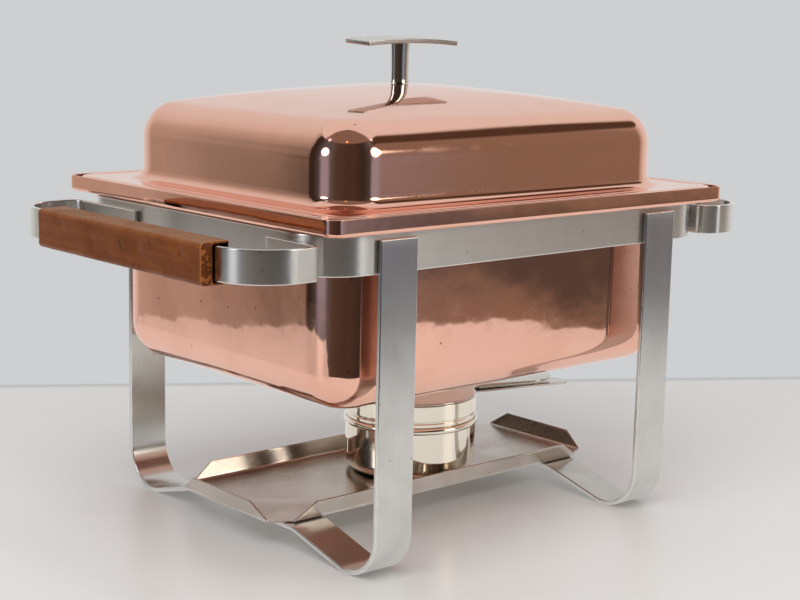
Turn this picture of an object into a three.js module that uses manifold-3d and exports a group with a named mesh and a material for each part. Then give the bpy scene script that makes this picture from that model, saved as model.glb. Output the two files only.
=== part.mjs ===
// Chafing dish food warmer: a strip-steel stand, a copper-clad water pan with a half-size food pan,
// a crowned lid, two wooden side grips and a fuel burner on a tray.
// Millimetres, +Z up. The origin is on the table under the middle of the stand, +X runs along the
// long side and the front is at -Y.
import * as THREE from "three";
import { mergeVertices } from "three/addons/utils/BufferGeometryUtils.js";
import Module from "manifold-3d";

const wasm = await Module();
wasm.setup();

// ---- driving dimensions ----
const CLEARANCE = 0.3; // gap kept between pieces that touch
const FOOD_PAN_LENGTH = 325; // gastronorm half size, over the rim
const FOOD_PAN_WIDTH = 265;
const FOOD_PAN_DEPTH = 65;
const FOOD_PAN_RIM = 12.5; // width of the rim flange
const FOOD_PAN_RIM_HEIGHT = 8;
const FOOD_PAN_WALL = 0.9;
const FOOD_PAN_CORNER = 40;
const FOOD_PAN_BASE_RADIUS = 18;
const FOOD_PAN_TAPER = 4; // the walls draw in this far from rim to base

const LIP_MARGIN = 18.5; // water pan's lip past the food pan's rim
const LIP_HEIGHT = 11.3;
const LIP_CORNER = 8;
const LIP_EDGE_RADIUS = 3;
const WATER_PAN_DEPTH = 117; // from the lip's underside to the base
const FLAME_GAP = 27.9; // from the burner's lid to the water pan's base
const WATER_PAN_WALL = 1.2;
const WATER_GAP = 6; // from the food pan's body to the water pan's outer face
const WATER_PAN_CORNER = 30;
const WATER_PAN_BASE_RADIUS = 25;

const LID_PLAY = 1.3; // between the lid's flange and the lip
const LID_FLANGE = 28.5;
const LID_FLANGE_CORNER = 20;
const LID_WALL = 1.2;
const LID_CORNER = 30;
const LID_FOOT_RADIUS = 8;
const LID_HEIGHT = 69; // from the flange's top to the crown
const LID_SHOULDER_Z = 29; // where the straight wall ends, above the flange
const LID_ROLL_RADIUS = 26;
const LID_ROLL_ANGLE = 72; // degrees that the shoulder turns before the crown starts
const LID_FLAT_SHARE = 0.2; // share of the crown that is flat, where the knob sits

const KNOB_LENGTH = 84.5;
const KNOB_WIDTH = 25;
const KNOB_THICKNESS = 3.4;
const KNOB_SHIFT = 2; // the bar sits this far to +X of its post
const KNOB_SAG = 1.9; // how far the ends are lower than the middle
const KNOB_TILT = 3; // degrees that the bar leans to the front
const KNOB_STANDOFF = 29; // from the lid's crown to the bar's underside
const POST_LENGTH = 14; // oval section along X
const POST_WIDTH = 10;
const POST_FLARE = 1.2;
const KNOB_SCREW_RADIUS = 2.5;
const KNOB_SCREW_REACH = 14;
const SCREW_HEAD_HEIGHT = 2.4;
const KNOB_WASHER_RADIUS = 8;
const WASHER_THICKNESS = 1;

const BAND_HEIGHT = 25.7;
const BAND_THICKNESS = 3.5;
const BAND_CORNER = 35;
const BAND_SETBACK_END = 1.5; // from the lip's outer face in to the band's, at the ends
const BAND_SETBACK_FRONT = 12; // the same at front and back

const LEG_WIDTH = 30;
const LEG_THICKNESS = 3.2;
const LEG_INSET = 43.1; // from the band's end to the leg's outer edge
const LEG_TOP_DROP = 3.8; // leg's top below the band's top
const FOOT_RADIUS = 30; // outer radius of the foot's bend
const FOOT_RISE = 15; // degrees that the strip rises inward of the foot
const TRAY_REST_Z = 17; // top of the strip's raised middle
const REST_RADIUS = 22;

const TRAY_OVERHANG = 13.6; // past the leg strips' outer edges
const TRAY_SIDE_ROOM = 9.9; // floor past the burner's cup, at front and back
const TRAY_X = 4; // the tray's middle from the stand's
const TRAY_Y = 5;
const TRAY_SHEET = 1.2;
const TRAY_FLANGE = 13.5;
const TRAY_LEAN = 14; // degrees that the flanges lean outward
const TRAY_NOTCH_X = 15; // corner left open at the ends of the long flanges
const TRAY_NOTCH_Y = 9;
const TRAY_FLANGE_CUT = 16; // length of the diagonal cut at each end of a flange
const TRAY_FLANGE_HEEL = 1.5; // height of a flange where its cut starts

const BOW_HEIGHT = 21;
const BOW_THICKNESS = 3;
const BOW_REACH = 51.5; // from the band's end to the bow's outer face
const BOW_RADIUS = 33; // on the strip's middle line
const BOW_SETBACK = 1; // from the band's front face back to the arm's middle line
const BOW_TOP_DROP = 4.5; // below the band's top
const TAB_FRONT = 50; // tabs on the band, from the arms' middle lines
const TAB_FRONT_RADIUS = 3;
const TAB_REAR = 80;
const TAB_REAR_RADIUS = 12;

const GRIP_MARGIN_FRONT = 1; // from the front bend to the wood
const GRIP_MARGIN_REAR = 19; // from the rear bend; the wood sits a little to the front
const GRIP_LIP = 2.5; // wood over and under the strip
const GRIP_THICKNESS = 20.6;
const GRIP_PROUD = 9.4; // wood outside the bow's outer face
const GRIP_EDGE = 3;
const GRIP_SCREW_INSET = 35; // from the ends of the wood
const GRIP_SCREW_RADIUS = 1.75;
const GRIP_SCREW_HEAD = 3.5;
const GRIP_SCREW_REACH = 6; // into the wood past the strip

const BURNER_X = 17.2;
const CUP_RADIUS = 48.1;
const CUP_WALL = 1;
const CUP_HEIGHT = 38; // from its base to the middle of the bead
const CUP_BASE_RADIUS = 9;
const BEAD_PROUD = 1.6;
const BEAD_HEIGHT = 4.6;
const POT_HEIGHT = 56.5; // rim of the fuel pot above the cup's base
const POT_WALL = 1;
const FLAME_OPENING = 25; // radius
const POT_TOP_SHEET = 1;
const SNUFFER_SHEET = 1.5;
const SNUFFER_EDGE = 0.7;
const PADDLE_ANGLE = -6; // degrees from +X
const PADDLE_OUT = 54.9; // from the cup's wall to the centre of the rounded end
const PADDLE_END_RADIUS = 24.5;
const HANDLE_ANGLE = -15;
const HANDLE_OUT = 77.9; // from the cup's wall to the centre of the rounded tip
const HANDLE_TIP_RADIUS = 8.5;
const NECK_HALF = 10;
const HANDLE_SHEET = 1.5;
const HANDLE_DROP = 1.7; // handle's top below the snuffer lid's underside
const PIVOT_OUT = 7.9; // from the cup's wall to the pin's axis
const PIVOT_ANGLE = -10.5;
const PIN_RADIUS = 2;
const PIN_HEAD_RADIUS = 4;
const PIN_HEAD_HEIGHT = 1.2;

const ARC_STEPS = 6; // segments of a quarter turn
const ROUND_STEPS = 40; // segments of a full turn on the burner
const SMALL_STEPS = 16; // segments of a full turn on fasteners

// ---- derived places ----
const LIP_X = FOOD_PAN_LENGTH / 2 + LIP_MARGIN;
const LIP_Y = FOOD_PAN_WIDTH / 2 + LIP_MARGIN;
const TRAY_FLOOR_Z = TRAY_REST_Z + CLEARANCE + TRAY_SHEET;
const CUP_BASE_Z = TRAY_FLOOR_Z + CLEARANCE;
const BEAD_Z = CUP_BASE_Z + CUP_HEIGHT;
const POT_SEAT_Z = BEAD_Z + BEAD_HEIGHT / 2 + CLEARANCE;
const POT_RIM_Z = CUP_BASE_Z + POT_HEIGHT;
const SNUFFER_Z = POT_RIM_Z + CLEARANCE;
const SNUFFER_TOP_Z = SNUFFER_Z + SNUFFER_SHEET;
const HANDLE_TOP_Z = SNUFFER_Z - HANDLE_DROP;
const PADDLE_REACH = CUP_RADIUS + PADDLE_OUT;
const HANDLE_REACH = CUP_RADIUS + HANDLE_OUT;
const PIVOT_REACH = CUP_RADIUS + PIVOT_OUT;
const PAN_SEAT_Z = SNUFFER_TOP_Z + FLAME_GAP + WATER_PAN_DEPTH; // underside of the pan's lip
const LEDGE_Z = PAN_SEAT_Z + WATER_PAN_WALL;
const FOOD_BODY_X = FOOD_PAN_LENGTH / 2 - FOOD_PAN_RIM;
const FOOD_BODY_Y = FOOD_PAN_WIDTH / 2 - FOOD_PAN_RIM;
const FOOD_RIM_Z = LEDGE_Z + CLEARANCE + FOOD_PAN_RIM_HEIGHT;
const PAN_BODY_X = FOOD_BODY_X + WATER_GAP;
const PAN_BODY_Y = FOOD_BODY_Y + WATER_GAP;
const LID_BASE_Z = FOOD_RIM_Z + CLEARANCE;
const LID_FLANGE_Z = LID_BASE_Z + LID_WALL;
const LID_CROWN_Z = LID_FLANGE_Z + LID_HEIGHT;
const BAND_TOP_Z = PAN_SEAT_Z - CLEARANCE;
const BAND_X = LIP_X - BAND_SETBACK_END;
const BAND_Y = LIP_Y - BAND_SETBACK_FRONT;
const LEG_FACE_Y = BAND_Y + CLEARANCE + LEG_THICKNESS / 2;
const LEG_X = BAND_X - LEG_INSET - LEG_WIDTH / 2;
const BOW_TOP_Z = BAND_TOP_Z - BOW_TOP_DROP;
const BOW_X = BAND_X + BOW_REACH - BOW_THICKNESS / 2;
const BOW_HALF_SPAN = BAND_Y - BOW_SETBACK;
const GRIP_FRONT_Y = -BOW_HALF_SPAN + BOW_RADIUS + GRIP_MARGIN_FRONT;
const GRIP_REAR_Y = BOW_HALF_SPAN - BOW_RADIUS - GRIP_MARGIN_REAR;
const GRIP_HEIGHT = BOW_HEIGHT + 2 * GRIP_LIP;
const GRIP_OUTER_X = BOW_X + BOW_THICKNESS / 2 + GRIP_PROUD;
const TRAY_LENGTH = 2 * (LEG_X + LEG_WIDTH / 2 + TRAY_OVERHANG);
const TRAY_WIDTH = 2 * (CUP_RADIUS + TRAY_SIDE_ROOM);

const radians = THREE.MathUtils.degToRad;

// ---- solids ----

// A closed three.js geometry as a manifold solid.
function solidOf(geometry) {
  const bare = geometry.clone();
  for (const name of Object.keys(bare.attributes)) {
    if (name !== "position") bare.deleteAttribute(name);
  }
  const merged = mergeVertices(bare, 1e-4);
  return new wasm.Manifold(
    new wasm.Mesh({
      numProp: 3,
      vertProperties: new Float32Array(merged.attributes.position.array),
      triVerts: new Uint32Array(merged.index.array),
    }),
  );
}

// A manifold solid as a three.js geometry.
function geometryOf(solid) {
  const mesh = solid.getMesh();
  const positions = new Float32Array(mesh.numVert * 3);
  for (let i = 0; i < mesh.numVert; i++) {
    positions.set(mesh.vertProperties.subarray(i * mesh.numProp, i * mesh.numProp + 3), i * 3);
  }
  const geometry = new THREE.BufferGeometry();
  geometry.setAttribute("position", new THREE.BufferAttribute(positions, 3));
  geometry.setIndex(new THREE.BufferAttribute(new Uint32Array(mesh.triVerts), 1));
  return geometry;
}

function joined(...geometries) {
  return geometryOf(geometries.map(solidOf).reduce((sum, solid) => sum.add(solid)));
}

function cut(body, ...tools) {
  return geometryOf(tools.map(solidOf).reduce((rest, tool) => rest.subtract(tool), solidOf(body)));
}

// One ring of points round a rounded rectangle with half sizes hx and hy, counter-clockwise.
function rectangleRing(hx, hy, corner, z) {
  const radius = Math.min(corner, hx - 0.01, hy - 0.01);
  const centres = [
    [1, 1],
    [-1, 1],
    [-1, -1],
    [1, -1],
  ];
  return centres.flatMap(([sx, sy], quarter) =>
    Array.from({ length: ARC_STEPS + 1 }, (_, step) => {
      const angle = ((quarter + step / ARC_STEPS) * Math.PI) / 2;
      const x = sx * (hx - radius) + radius * Math.cos(angle);
      const y = sy * (hy - radius) + radius * Math.sin(angle);
      return new THREE.Vector3(x, y, z);
    }),
  );
}

// A closed skin through rings of equal length, with a flat cap on the first and the last ring.
function loft(rings) {
  const count = rings[0].length;
  const middles = [rings[0], rings.at(-1)].map((ring) =>
    ring.reduce((sum, p) => sum.add(p), new THREE.Vector3()).divideScalar(count),
  );
  const points = [...rings.flat(), ...middles];
  const first = rings.length * count;
  const index = [];
  rings.slice(1).forEach((_, row) => {
    for (let i = 0; i < count; i++) {
      const next = (i + 1) % count;
      const a = row * count + i;
      const b = row * count + next;
      index.push(a, b, b + count, a, b + count, a + count);
    }
  });
  const last = (rings.length - 1) * count;
  for (let i = 0; i < count; i++) {
    const next = (i + 1) % count;
    index.push(first, next, i);
    index.push(first + 1, last + i, last + next);
  }
  const geometry = new THREE.BufferGeometry().setFromPoints(points);
  geometry.setIndex(index);
  return geometry;
}

// Insets and heights of a rounded edge that turns from flat (at its foot) to upright.
function edgeArc(radius, foot, steps = ARC_STEPS) {
  return Array.from({ length: steps + 1 }, (_, step) => {
    const angle = ((step / steps) * Math.PI) / 2;
    return { inset: radius * (1 - Math.sin(angle)), z: foot + radius * (1 - Math.cos(angle)) };
  });
}

// The middle line of a bent strip: straight stretches with an arc of the given radius at each bend.
function bentLine(corners) {
  const line = [new THREE.Vector2(corners[0].x, corners[0].y)];
  for (let i = 1; i < corners.length - 1; i++) {
    const bend = new THREE.Vector2(corners[i].x, corners[i].y);
    const back = new THREE.Vector2(corners[i - 1].x, corners[i - 1].y).sub(bend).normalize();
    const ahead = new THREE.Vector2(corners[i + 1].x, corners[i + 1].y).sub(bend).normalize();
    const half = Math.acos(THREE.MathUtils.clamp(back.dot(ahead), -1, 1)) / 2;
    const radius = corners[i].radius;
    const bisector = back.clone().add(ahead).normalize();
    const centre = bend.clone().addScaledVector(bisector, radius / Math.sin(half));
    const start = bend.clone().addScaledVector(back, radius / Math.tan(half)).sub(centre);
    const turn = Math.sign(back.cross(ahead)) * -(Math.PI - 2 * half);
    const steps = Math.max(2, Math.ceil(Math.abs(turn) / (Math.PI / 2 / ARC_STEPS)));
    for (let k = 0; k <= steps; k++) {
      line.push(start.clone().rotateAround(new THREE.Vector2(), (turn * k) / steps).add(centre));
    }
  }
  const end = corners.at(-1);
  line.push(new THREE.Vector2(end.x, end.y));
  return line;
}

// The outline of a strip of the given thickness along a bent middle line.
function stripOutline(corners, thickness) {
  const line = bentLine(corners);
  const sides = [1, -1].map((side) =>
    line.map((point, i) => {
      const before = point.clone().sub(line[Math.max(i - 1, 0)]).normalize();
      const after = line[Math.min(i + 1, line.length - 1)].clone().sub(point).normalize();
      const along = before.add(after).normalize();
      const mitre = (side * thickness) / 2 / mitreCosine(line, i);
      return new THREE.Vector2(-along.y, along.x).multiplyScalar(mitre).add(point);
    }),
  );
  return new THREE.Shape([...sides[0], ...sides[1].reverse()]);
}

// Cosine of half the turn at a point of a polyline, which keeps a strip's thickness true there.
function mitreCosine(line, i) {
  if (i === 0 || i === line.length - 1) return 1;
  const before = line[i].clone().sub(line[i - 1]).normalize();
  const after = line[i + 1].clone().sub(line[i]).normalize();
  return Math.cos(Math.acos(THREE.MathUtils.clamp(before.dot(after), -1, 1)) / 2);
}

// A flat shape in XY made a plate between two heights.
function plate(shape, bottom, top) {
  const geometry = new THREE.ExtrudeGeometry(shape, {
    depth: top - bottom,
    bevelEnabled: false,
    curveSegments: 2 * ARC_STEPS,
  });
  return geometry.translate(0, 0, bottom);
}

function rectangleShape(hx, hy, corner) {
  return new THREE.Shape(rectangleRing(hx, hy, corner, 0).map((p) => new THREE.Vector2(p.x, p.y)));
}

// A closed [radius, height] profile turned round the Z axis.
function turned(profile, segments) {
  const points = profile.map(([radius, z]) => new THREE.Vector2(radius, z));
  const geometry = new THREE.LatheGeometry(points, segments);
  return geometry.rotateX(Math.PI / 2);
}

function ring(inner, outer, bottom, top, segments) {
  const profile = [
    [inner, bottom],
    [outer, bottom],
    [outer, top],
    [inner, top],
    [inner, bottom],
  ];
  return turned(profile, segments);
}

// An upright cylinder between two heights.
function rod(radius, bottom, top) {
  const geometry = new THREE.CylinderGeometry(radius, radius, top - bottom, SMALL_STEPS);
  return geometry.rotateX(Math.PI / 2).translate(0, 0, (top + bottom) / 2);
}

// ---- stand ----

function bandGeometry() {
  const outline = rectangleShape(BAND_X, BAND_Y, BAND_CORNER);
  const inner = rectangleShape(
    BAND_X - BAND_THICKNESS,
    BAND_Y - BAND_THICKNESS,
    BAND_CORNER - BAND_THICKNESS,
  );
  outline.holes.push(inner);
  return plate(outline, BAND_TOP_Z - BAND_HEIGHT, BAND_TOP_Z);
}

// Half of the leg strip's middle line in the YZ plane, from the top of the front leg to the middle.
function legCorners() {
  const rise = radians(FOOT_RISE);
  const bendRadius = FOOT_RADIUS - LEG_THICKNESS / 2;
  const restZ = TRAY_REST_Z - LEG_THICKNESS / 2;
  const footInnerY = -LEG_FACE_Y + bendRadius * (1 + Math.sin(rise));
  const footInnerZ = FOOT_RADIUS - bendRadius * Math.cos(rise);
  const restY = footInnerY + (restZ - footInnerZ) / Math.tan(rise);
  const bendZ = footInnerZ - (footInnerY + LEG_FACE_Y) * Math.tan(rise);
  return [
    { x: -LEG_FACE_Y, y: BAND_TOP_Z - LEG_TOP_DROP },
    { x: -LEG_FACE_Y, y: bendZ, radius: bendRadius },
    { x: restY, y: restZ, radius: REST_RADIUS },
  ];
}

function legStripGeometry(centreX) {
  const front = legCorners();
  const rear = front.map((corner) => ({ ...corner, x: -corner.x })).reverse();
  const outline = stripOutline([...front, ...rear], LEG_THICKNESS);
  const geometry = new THREE.ExtrudeGeometry(outline, { depth: LEG_WIDTH, bevelEnabled: false });
  // the outline's own axes become Y and Z, and the extrusion runs along +X
  geometry.applyMatrix4(
    new THREE.Matrix4().makeBasis(
      new THREE.Vector3(0, 1, 0),
      new THREE.Vector3(0, 0, 1),
      new THREE.Vector3(1, 0, 0),
    ),
  );
  return geometry.translate(centreX - LEG_WIDTH / 2, 0, 0);
}

// One slanted flange of the tray along +X at y = 0, its ends cut off diagonally towards the top.
function trayFlange(length) {
  const shape = new THREE.Shape([
    new THREE.Vector2(-length / 2, 0),
    new THREE.Vector2(length / 2, 0),
    new THREE.Vector2(length / 2, TRAY_FLANGE_HEEL),
    new THREE.Vector2(length / 2 - TRAY_FLANGE_CUT, TRAY_FLANGE),
    new THREE.Vector2(-length / 2 + TRAY_FLANGE_CUT, TRAY_FLANGE),
    new THREE.Vector2(-length / 2, TRAY_FLANGE_HEEL),
  ]);
  const geometry = new THREE.ExtrudeGeometry(shape, { depth: TRAY_SHEET, bevelEnabled: false });
  return geometry.rotateX(Math.PI / 2 + radians(TRAY_LEAN));
}

function trayGeometry() {
  const floorZ = TRAY_FLOOR_Z - TRAY_SHEET;
  const hx = TRAY_LENGTH / 2;
  const hy = TRAY_WIDTH / 2;
  const floor = new THREE.Shape([
    new THREE.Vector2(-hx + TRAY_NOTCH_X, -hy),
    new THREE.Vector2(hx - TRAY_NOTCH_X, -hy),
    new THREE.Vector2(hx, -hy + TRAY_NOTCH_Y),
    new THREE.Vector2(hx, hy - TRAY_NOTCH_Y),
    new THREE.Vector2(hx - TRAY_NOTCH_X, hy),
    new THREE.Vector2(-hx + TRAY_NOTCH_X, hy),
    new THREE.Vector2(-hx, hy - TRAY_NOTCH_Y),
    new THREE.Vector2(-hx, -hy + TRAY_NOTCH_Y),
  ]);
  const sides = [
    { length: TRAY_LENGTH - 2 * TRAY_NOTCH_X, turn: 0, out: hy },
    { length: TRAY_WIDTH - 2 * TRAY_NOTCH_Y, turn: 1, out: hx },
    { length: TRAY_LENGTH - 2 * TRAY_NOTCH_X, turn: 2, out: hy },
    { length: TRAY_WIDTH - 2 * TRAY_NOTCH_Y, turn: 3, out: hx },
  ];
  const flanges = sides.map(({ length, turn, out }) =>
    trayFlange(length)
      .translate(0, -out + TRAY_SHEET, floorZ)
      .rotateZ((turn * Math.PI) / 2),
  );
  return joined(plate(floor, floorZ, TRAY_FLOOR_Z), ...flanges).translate(TRAY_X, TRAY_Y, 0);
}

// ---- side handles ----
// Shapes of the left handle. The right one is the same part, given half a turn.

function bowGeometry() {
  const tabX = -(BAND_X + CLEARANCE + BOW_THICKNESS / 2);
  const bowX = -BOW_X;
  const frontY = -BOW_HALF_SPAN;
  const rearY = BOW_HALF_SPAN;
  const outline = stripOutline(
    [
      { x: tabX, y: frontY + TAB_FRONT },
      { x: tabX, y: frontY, radius: TAB_FRONT_RADIUS },
      { x: bowX, y: frontY, radius: BOW_RADIUS },
      { x: bowX, y: rearY, radius: BOW_RADIUS },
      { x: tabX, y: rearY, radius: TAB_REAR_RADIUS },
      { x: tabX, y: rearY - TAB_REAR },
    ],
    BOW_THICKNESS,
  );
  const strip = plate(outline, BOW_TOP_Z - BOW_HEIGHT, BOW_TOP_Z);
  return cut(strip, ...gripScrewPlaces().map(gripScrewHole));
}

function gripScrewPlaces() {
  return [GRIP_FRONT_Y + GRIP_SCREW_INSET, GRIP_REAR_Y - GRIP_SCREW_INSET];
}

// A cylinder along X between two distances to the left of the middle, at grip height.
function sideRod(radius, from, to, y) {
  const geometry = new THREE.CylinderGeometry(radius, radius, to - from, SMALL_STEPS);
  return geometry
    .rotateZ(Math.PI / 2)
    .translate(-(from + to) / 2, y, BOW_TOP_Z - BOW_HEIGHT / 2);
}

function gripScrewHole(y) {
  const reach = BOW_X + BOW_THICKNESS / 2 + GRIP_SCREW_REACH + 2 * CLEARANCE;
  return sideRod(GRIP_SCREW_RADIUS + CLEARANCE, BOW_X - 2 * BOW_THICKNESS, reach, y);
}

function gripScrewGeometry(y) {
  const inner = BOW_X - BOW_THICKNESS / 2 - CLEARANCE;
  const head = sideRod(GRIP_SCREW_HEAD, inner - SCREW_HEAD_HEIGHT, inner, y);
  const end = BOW_X + BOW_THICKNESS / 2 + GRIP_SCREW_REACH;
  return joined(head, sideRod(GRIP_SCREW_RADIUS, inner - CLEARANCE, end, y));
}

// Wooden bar with a slot along its inner side that takes the bow's strip.
function gripGeometry() {
  const middleX = GRIP_OUTER_X - GRIP_THICKNESS / 2;
  const middleZ = BOW_TOP_Z - BOW_HEIGHT / 2;
  const length = GRIP_REAR_Y - GRIP_FRONT_Y;
  const section = rectangleShape(GRIP_THICKNESS / 2, GRIP_HEIGHT / 2, GRIP_EDGE);
  const bar = new THREE.ExtrudeGeometry(section, { depth: length, bevelEnabled: false })
    .rotateX(Math.PI / 2)
    .translate(-middleX, GRIP_REAR_Y, middleZ);
  const slotEnd = BOW_X + BOW_THICKNESS / 2 + CLEARANCE;
  const slotStart = middleX - GRIP_THICKNESS;
  const slot = new THREE.BoxGeometry(
    slotEnd - slotStart,
    length + GRIP_HEIGHT,
    BOW_HEIGHT + 2 * CLEARANCE,
  ).translate(-(slotStart + slotEnd) / 2, (GRIP_FRONT_Y + GRIP_REAR_Y) / 2, middleZ);
  return cut(bar, slot, ...gripScrewPlaces().map(gripScrewHole));
}

// ---- pans and lid ----

function waterPanGeometry() {
  const baseZ = PAN_SEAT_Z - WATER_PAN_DEPTH;
  const lipTopZ = PAN_SEAT_Z + LIP_HEIGHT;
  const wall = WATER_PAN_WALL;
  const body = (inset, z) =>
    rectangleRing(PAN_BODY_X - inset, PAN_BODY_Y - inset, WATER_PAN_CORNER - inset, z);
  const lip = (inset, z) => rectangleRing(LIP_X - inset, LIP_Y - inset, LIP_CORNER - inset, z);
  const outside = edgeArc(WATER_PAN_BASE_RADIUS, baseZ).map(({ inset, z }) => body(inset, z));
  const under = edgeArc(LIP_EDGE_RADIUS, PAN_SEAT_Z, 3).map(({ inset, z }) => lip(inset, z));
  const inside = edgeArc(WATER_PAN_BASE_RADIUS - wall, baseZ + wall)
    .map(({ inset, z }) => body(inset + wall, z))
    .reverse();
  return loft([
    ...outside,
    body(0, PAN_SEAT_Z),
    ...under,
    lip(0, lipTopZ),
    lip(wall, lipTopZ),
    lip(wall, LEDGE_Z),
    body(wall, LEDGE_Z),
    ...inside,
  ]);
}

function foodPanGeometry() {
  const baseZ = FOOD_RIM_Z - FOOD_PAN_DEPTH;
  const wall = FOOD_PAN_WALL;
  const slope = FOOD_PAN_TAPER / (FOOD_PAN_DEPTH - FOOD_PAN_BASE_RADIUS);
  const drawn = (z) => slope * Math.max(0, FOOD_RIM_Z - z);
  const body = (inset, z) => {
    const all = inset + Math.min(drawn(z), FOOD_PAN_TAPER);
    return rectangleRing(FOOD_BODY_X - all, FOOD_BODY_Y - all, FOOD_PAN_CORNER - all, z);
  };
  const rimCorner = FOOD_PAN_CORNER + FOOD_PAN_RIM / 2;
  const rim = (inset, z) =>
    rectangleRing(FOOD_PAN_LENGTH / 2 - inset, FOOD_PAN_WIDTH / 2 - inset, rimCorner - inset, z);
  const outside = edgeArc(FOOD_PAN_BASE_RADIUS, baseZ).map(({ inset, z }) => body(inset, z));
  const inside = edgeArc(FOOD_PAN_BASE_RADIUS - wall, baseZ + wall)
    .map(({ inset, z }) => body(inset + wall, z))
    .reverse();
  return loft([
    ...outside,
    body(0, FOOD_RIM_Z - wall),
    rim(wall, FOOD_RIM_Z - wall),
    rim(wall, LEDGE_Z + CLEARANCE),
    rim(0, LEDGE_Z + CLEARANCE),
    rim(0, FOOD_RIM_Z - wall),
    rim(wall, FOOD_RIM_Z),
    body(wall, FOOD_RIM_Z),
    ...inside,
  ]);
}

// Rings of the lid's skin from the flange up over the crown; offset moves the skin inward.
function lidRings(offset) {
  const flangeX = LIP_X - WATER_PAN_WALL - LID_PLAY;
  const flangeY = LIP_Y - WATER_PAN_WALL - LID_PLAY;
  const bodyX = flangeX - LID_FLANGE;
  const bodyY = flangeY - LID_FLANGE;
  const body = (inset, z) =>
    rectangleRing(bodyX - inset, bodyY - inset, Math.max(LID_CORNER - inset, 4), z);
  const footRadius = LID_FOOT_RADIUS + offset;
  const foot = Array.from({ length: 4 }, (_, step) => {
    const angle = ((step / 3) * Math.PI) / 2;
    const inset = offset - footRadius * (1 - Math.sin(angle));
    return body(inset, LID_FLANGE_Z - offset + footRadius * (1 - Math.cos(angle)));
  });
  const rollZ = LID_FLANGE_Z + LID_SHOULDER_Z;
  const rollRadius = LID_ROLL_RADIUS - offset;
  const turn = radians(LID_ROLL_ANGLE);
  const roll = Array.from({ length: ARC_STEPS + 1 }, (_, step) => {
    const angle = (turn * step) / ARC_STEPS;
    const inset = LID_ROLL_RADIUS - rollRadius * Math.cos(angle);
    return body(inset, rollZ + rollRadius * Math.sin(angle));
  });
  const edgeInset = LID_ROLL_RADIUS - rollRadius * Math.cos(turn);
  const edgeZ = rollZ + rollRadius * Math.sin(turn);
  const crownZ = LID_CROWN_Z - offset;
  const crown = [0.85, 0.65, 0.42, LID_FLAT_SHARE].map((share) => {
    const fall = (share ** 2 - LID_FLAT_SHARE ** 2) / (1 - LID_FLAT_SHARE ** 2);
    return rectangleRing(
      (bodyX - edgeInset) * share,
      (bodyY - edgeInset) * share,
      Math.max(LID_CORNER - edgeInset, 4) + (bodyY * (1 - share)) / 2,
      crownZ - (crownZ - edgeZ) * fall,
    );
  });
  return [...foot, ...roll, ...crown];
}

function lidGeometry() {
  const flangeX = LIP_X - WATER_PAN_WALL - LID_PLAY;
  const flangeY = LIP_Y - WATER_PAN_WALL - LID_PLAY;
  const edge = (z) => rectangleRing(flangeX, flangeY, LID_FLANGE_CORNER, z);
  const inner = lidRings(LID_WALL).reverse();
  const shell = loft([...inner, edge(LID_BASE_Z), edge(LID_FLANGE_Z), ...lidRings(0)]);
  const hole = rod(KNOB_SCREW_RADIUS + CLEARANCE, LID_CROWN_Z - 4 * LID_WALL, LID_CROWN_Z + LID_WALL);
  return cut(shell, hole);
}

// ---- knob ----

// Height of the bar's underside over the knob's middle plane at a distance y to the back.
function barUndersideZ(y) {
  return LID_CROWN_Z + KNOB_STANDOFF + y * Math.tan(radians(KNOB_TILT));
}

function knobPostGeometry() {
  const shelf = LID_CROWN_Z + CLEARANCE;
  const levels = [
    { share: 0, flare: 0 },
    { share: 0.7, flare: 0 },
    { share: 1, flare: POST_FLARE / 2 },
  ];
  const oval = ({ share, flare }) =>
    Array.from({ length: 2 * SMALL_STEPS }, (_, step) => {
      const angle = (step / SMALL_STEPS) * Math.PI;
      const x = (POST_LENGTH / 2 + flare) * Math.cos(angle);
      const y = (POST_WIDTH / 2 + flare) * Math.sin(angle);
      const top = barUndersideZ(y) - CLEARANCE;
      return new THREE.Vector3(x, y, shelf + (top - shelf) * share);
    });
  const bore = rod(KNOB_SCREW_RADIUS + CLEARANCE, shelf - 1, shelf + KNOB_SCREW_REACH + 2 * CLEARANCE);
  return cut(loft(levels.map(oval)), bore);
}

// Arched bar: an outline in XZ between two arcs, as wide as the knob, leaning to the front.
function knobPlateGeometry() {
  const half = KNOB_LENGTH / 2;
  const radius = (half ** 2 + KNOB_SAG ** 2) / (2 * KNOB_SAG);
  const steps = 2 * ARC_STEPS;
  const arc = (lift) =>
    Array.from({ length: steps + 1 }, (_, step) => {
      const x = -half + (KNOB_LENGTH * step) / steps;
      return new THREE.Vector2(x, Math.sqrt(radius ** 2 - x ** 2) - radius + lift);
    });
  const outline = new THREE.Shape([...arc(0), ...arc(KNOB_THICKNESS).reverse()]);
  return new THREE.ExtrudeGeometry(outline, { depth: KNOB_WIDTH, bevelEnabled: false })
    .translate(0, 0, -KNOB_WIDTH / 2)
    .rotateX(Math.PI / 2 + radians(KNOB_TILT))
    .translate(KNOB_SHIFT, 0, LID_CROWN_Z + KNOB_STANDOFF);
}

function knobWasherGeometry() {
  const top = LID_CROWN_Z - LID_WALL - CLEARANCE;
  const bore = KNOB_SCREW_RADIUS + CLEARANCE;
  return ring(bore, KNOB_WASHER_RADIUS, top - WASHER_THICKNESS, top, SMALL_STEPS);
}

function knobScrewGeometry() {
  const headTop = LID_CROWN_Z - LID_WALL - WASHER_THICKNESS - 2 * CLEARANCE;
  const shankTop = LID_CROWN_Z + CLEARANCE + KNOB_SCREW_REACH;
  return turned(
    [
      [0, headTop - SCREW_HEAD_HEIGHT],
      [2 * KNOB_SCREW_RADIUS, headTop - SCREW_HEAD_HEIGHT],
      [2 * KNOB_SCREW_RADIUS, headTop],
      [KNOB_SCREW_RADIUS, headTop],
      [KNOB_SCREW_RADIUS, shankTop],
      [0, shankTop],
    ],
    SMALL_STEPS,
  );
}

// ---- burner, built on its own axis ----

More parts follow.
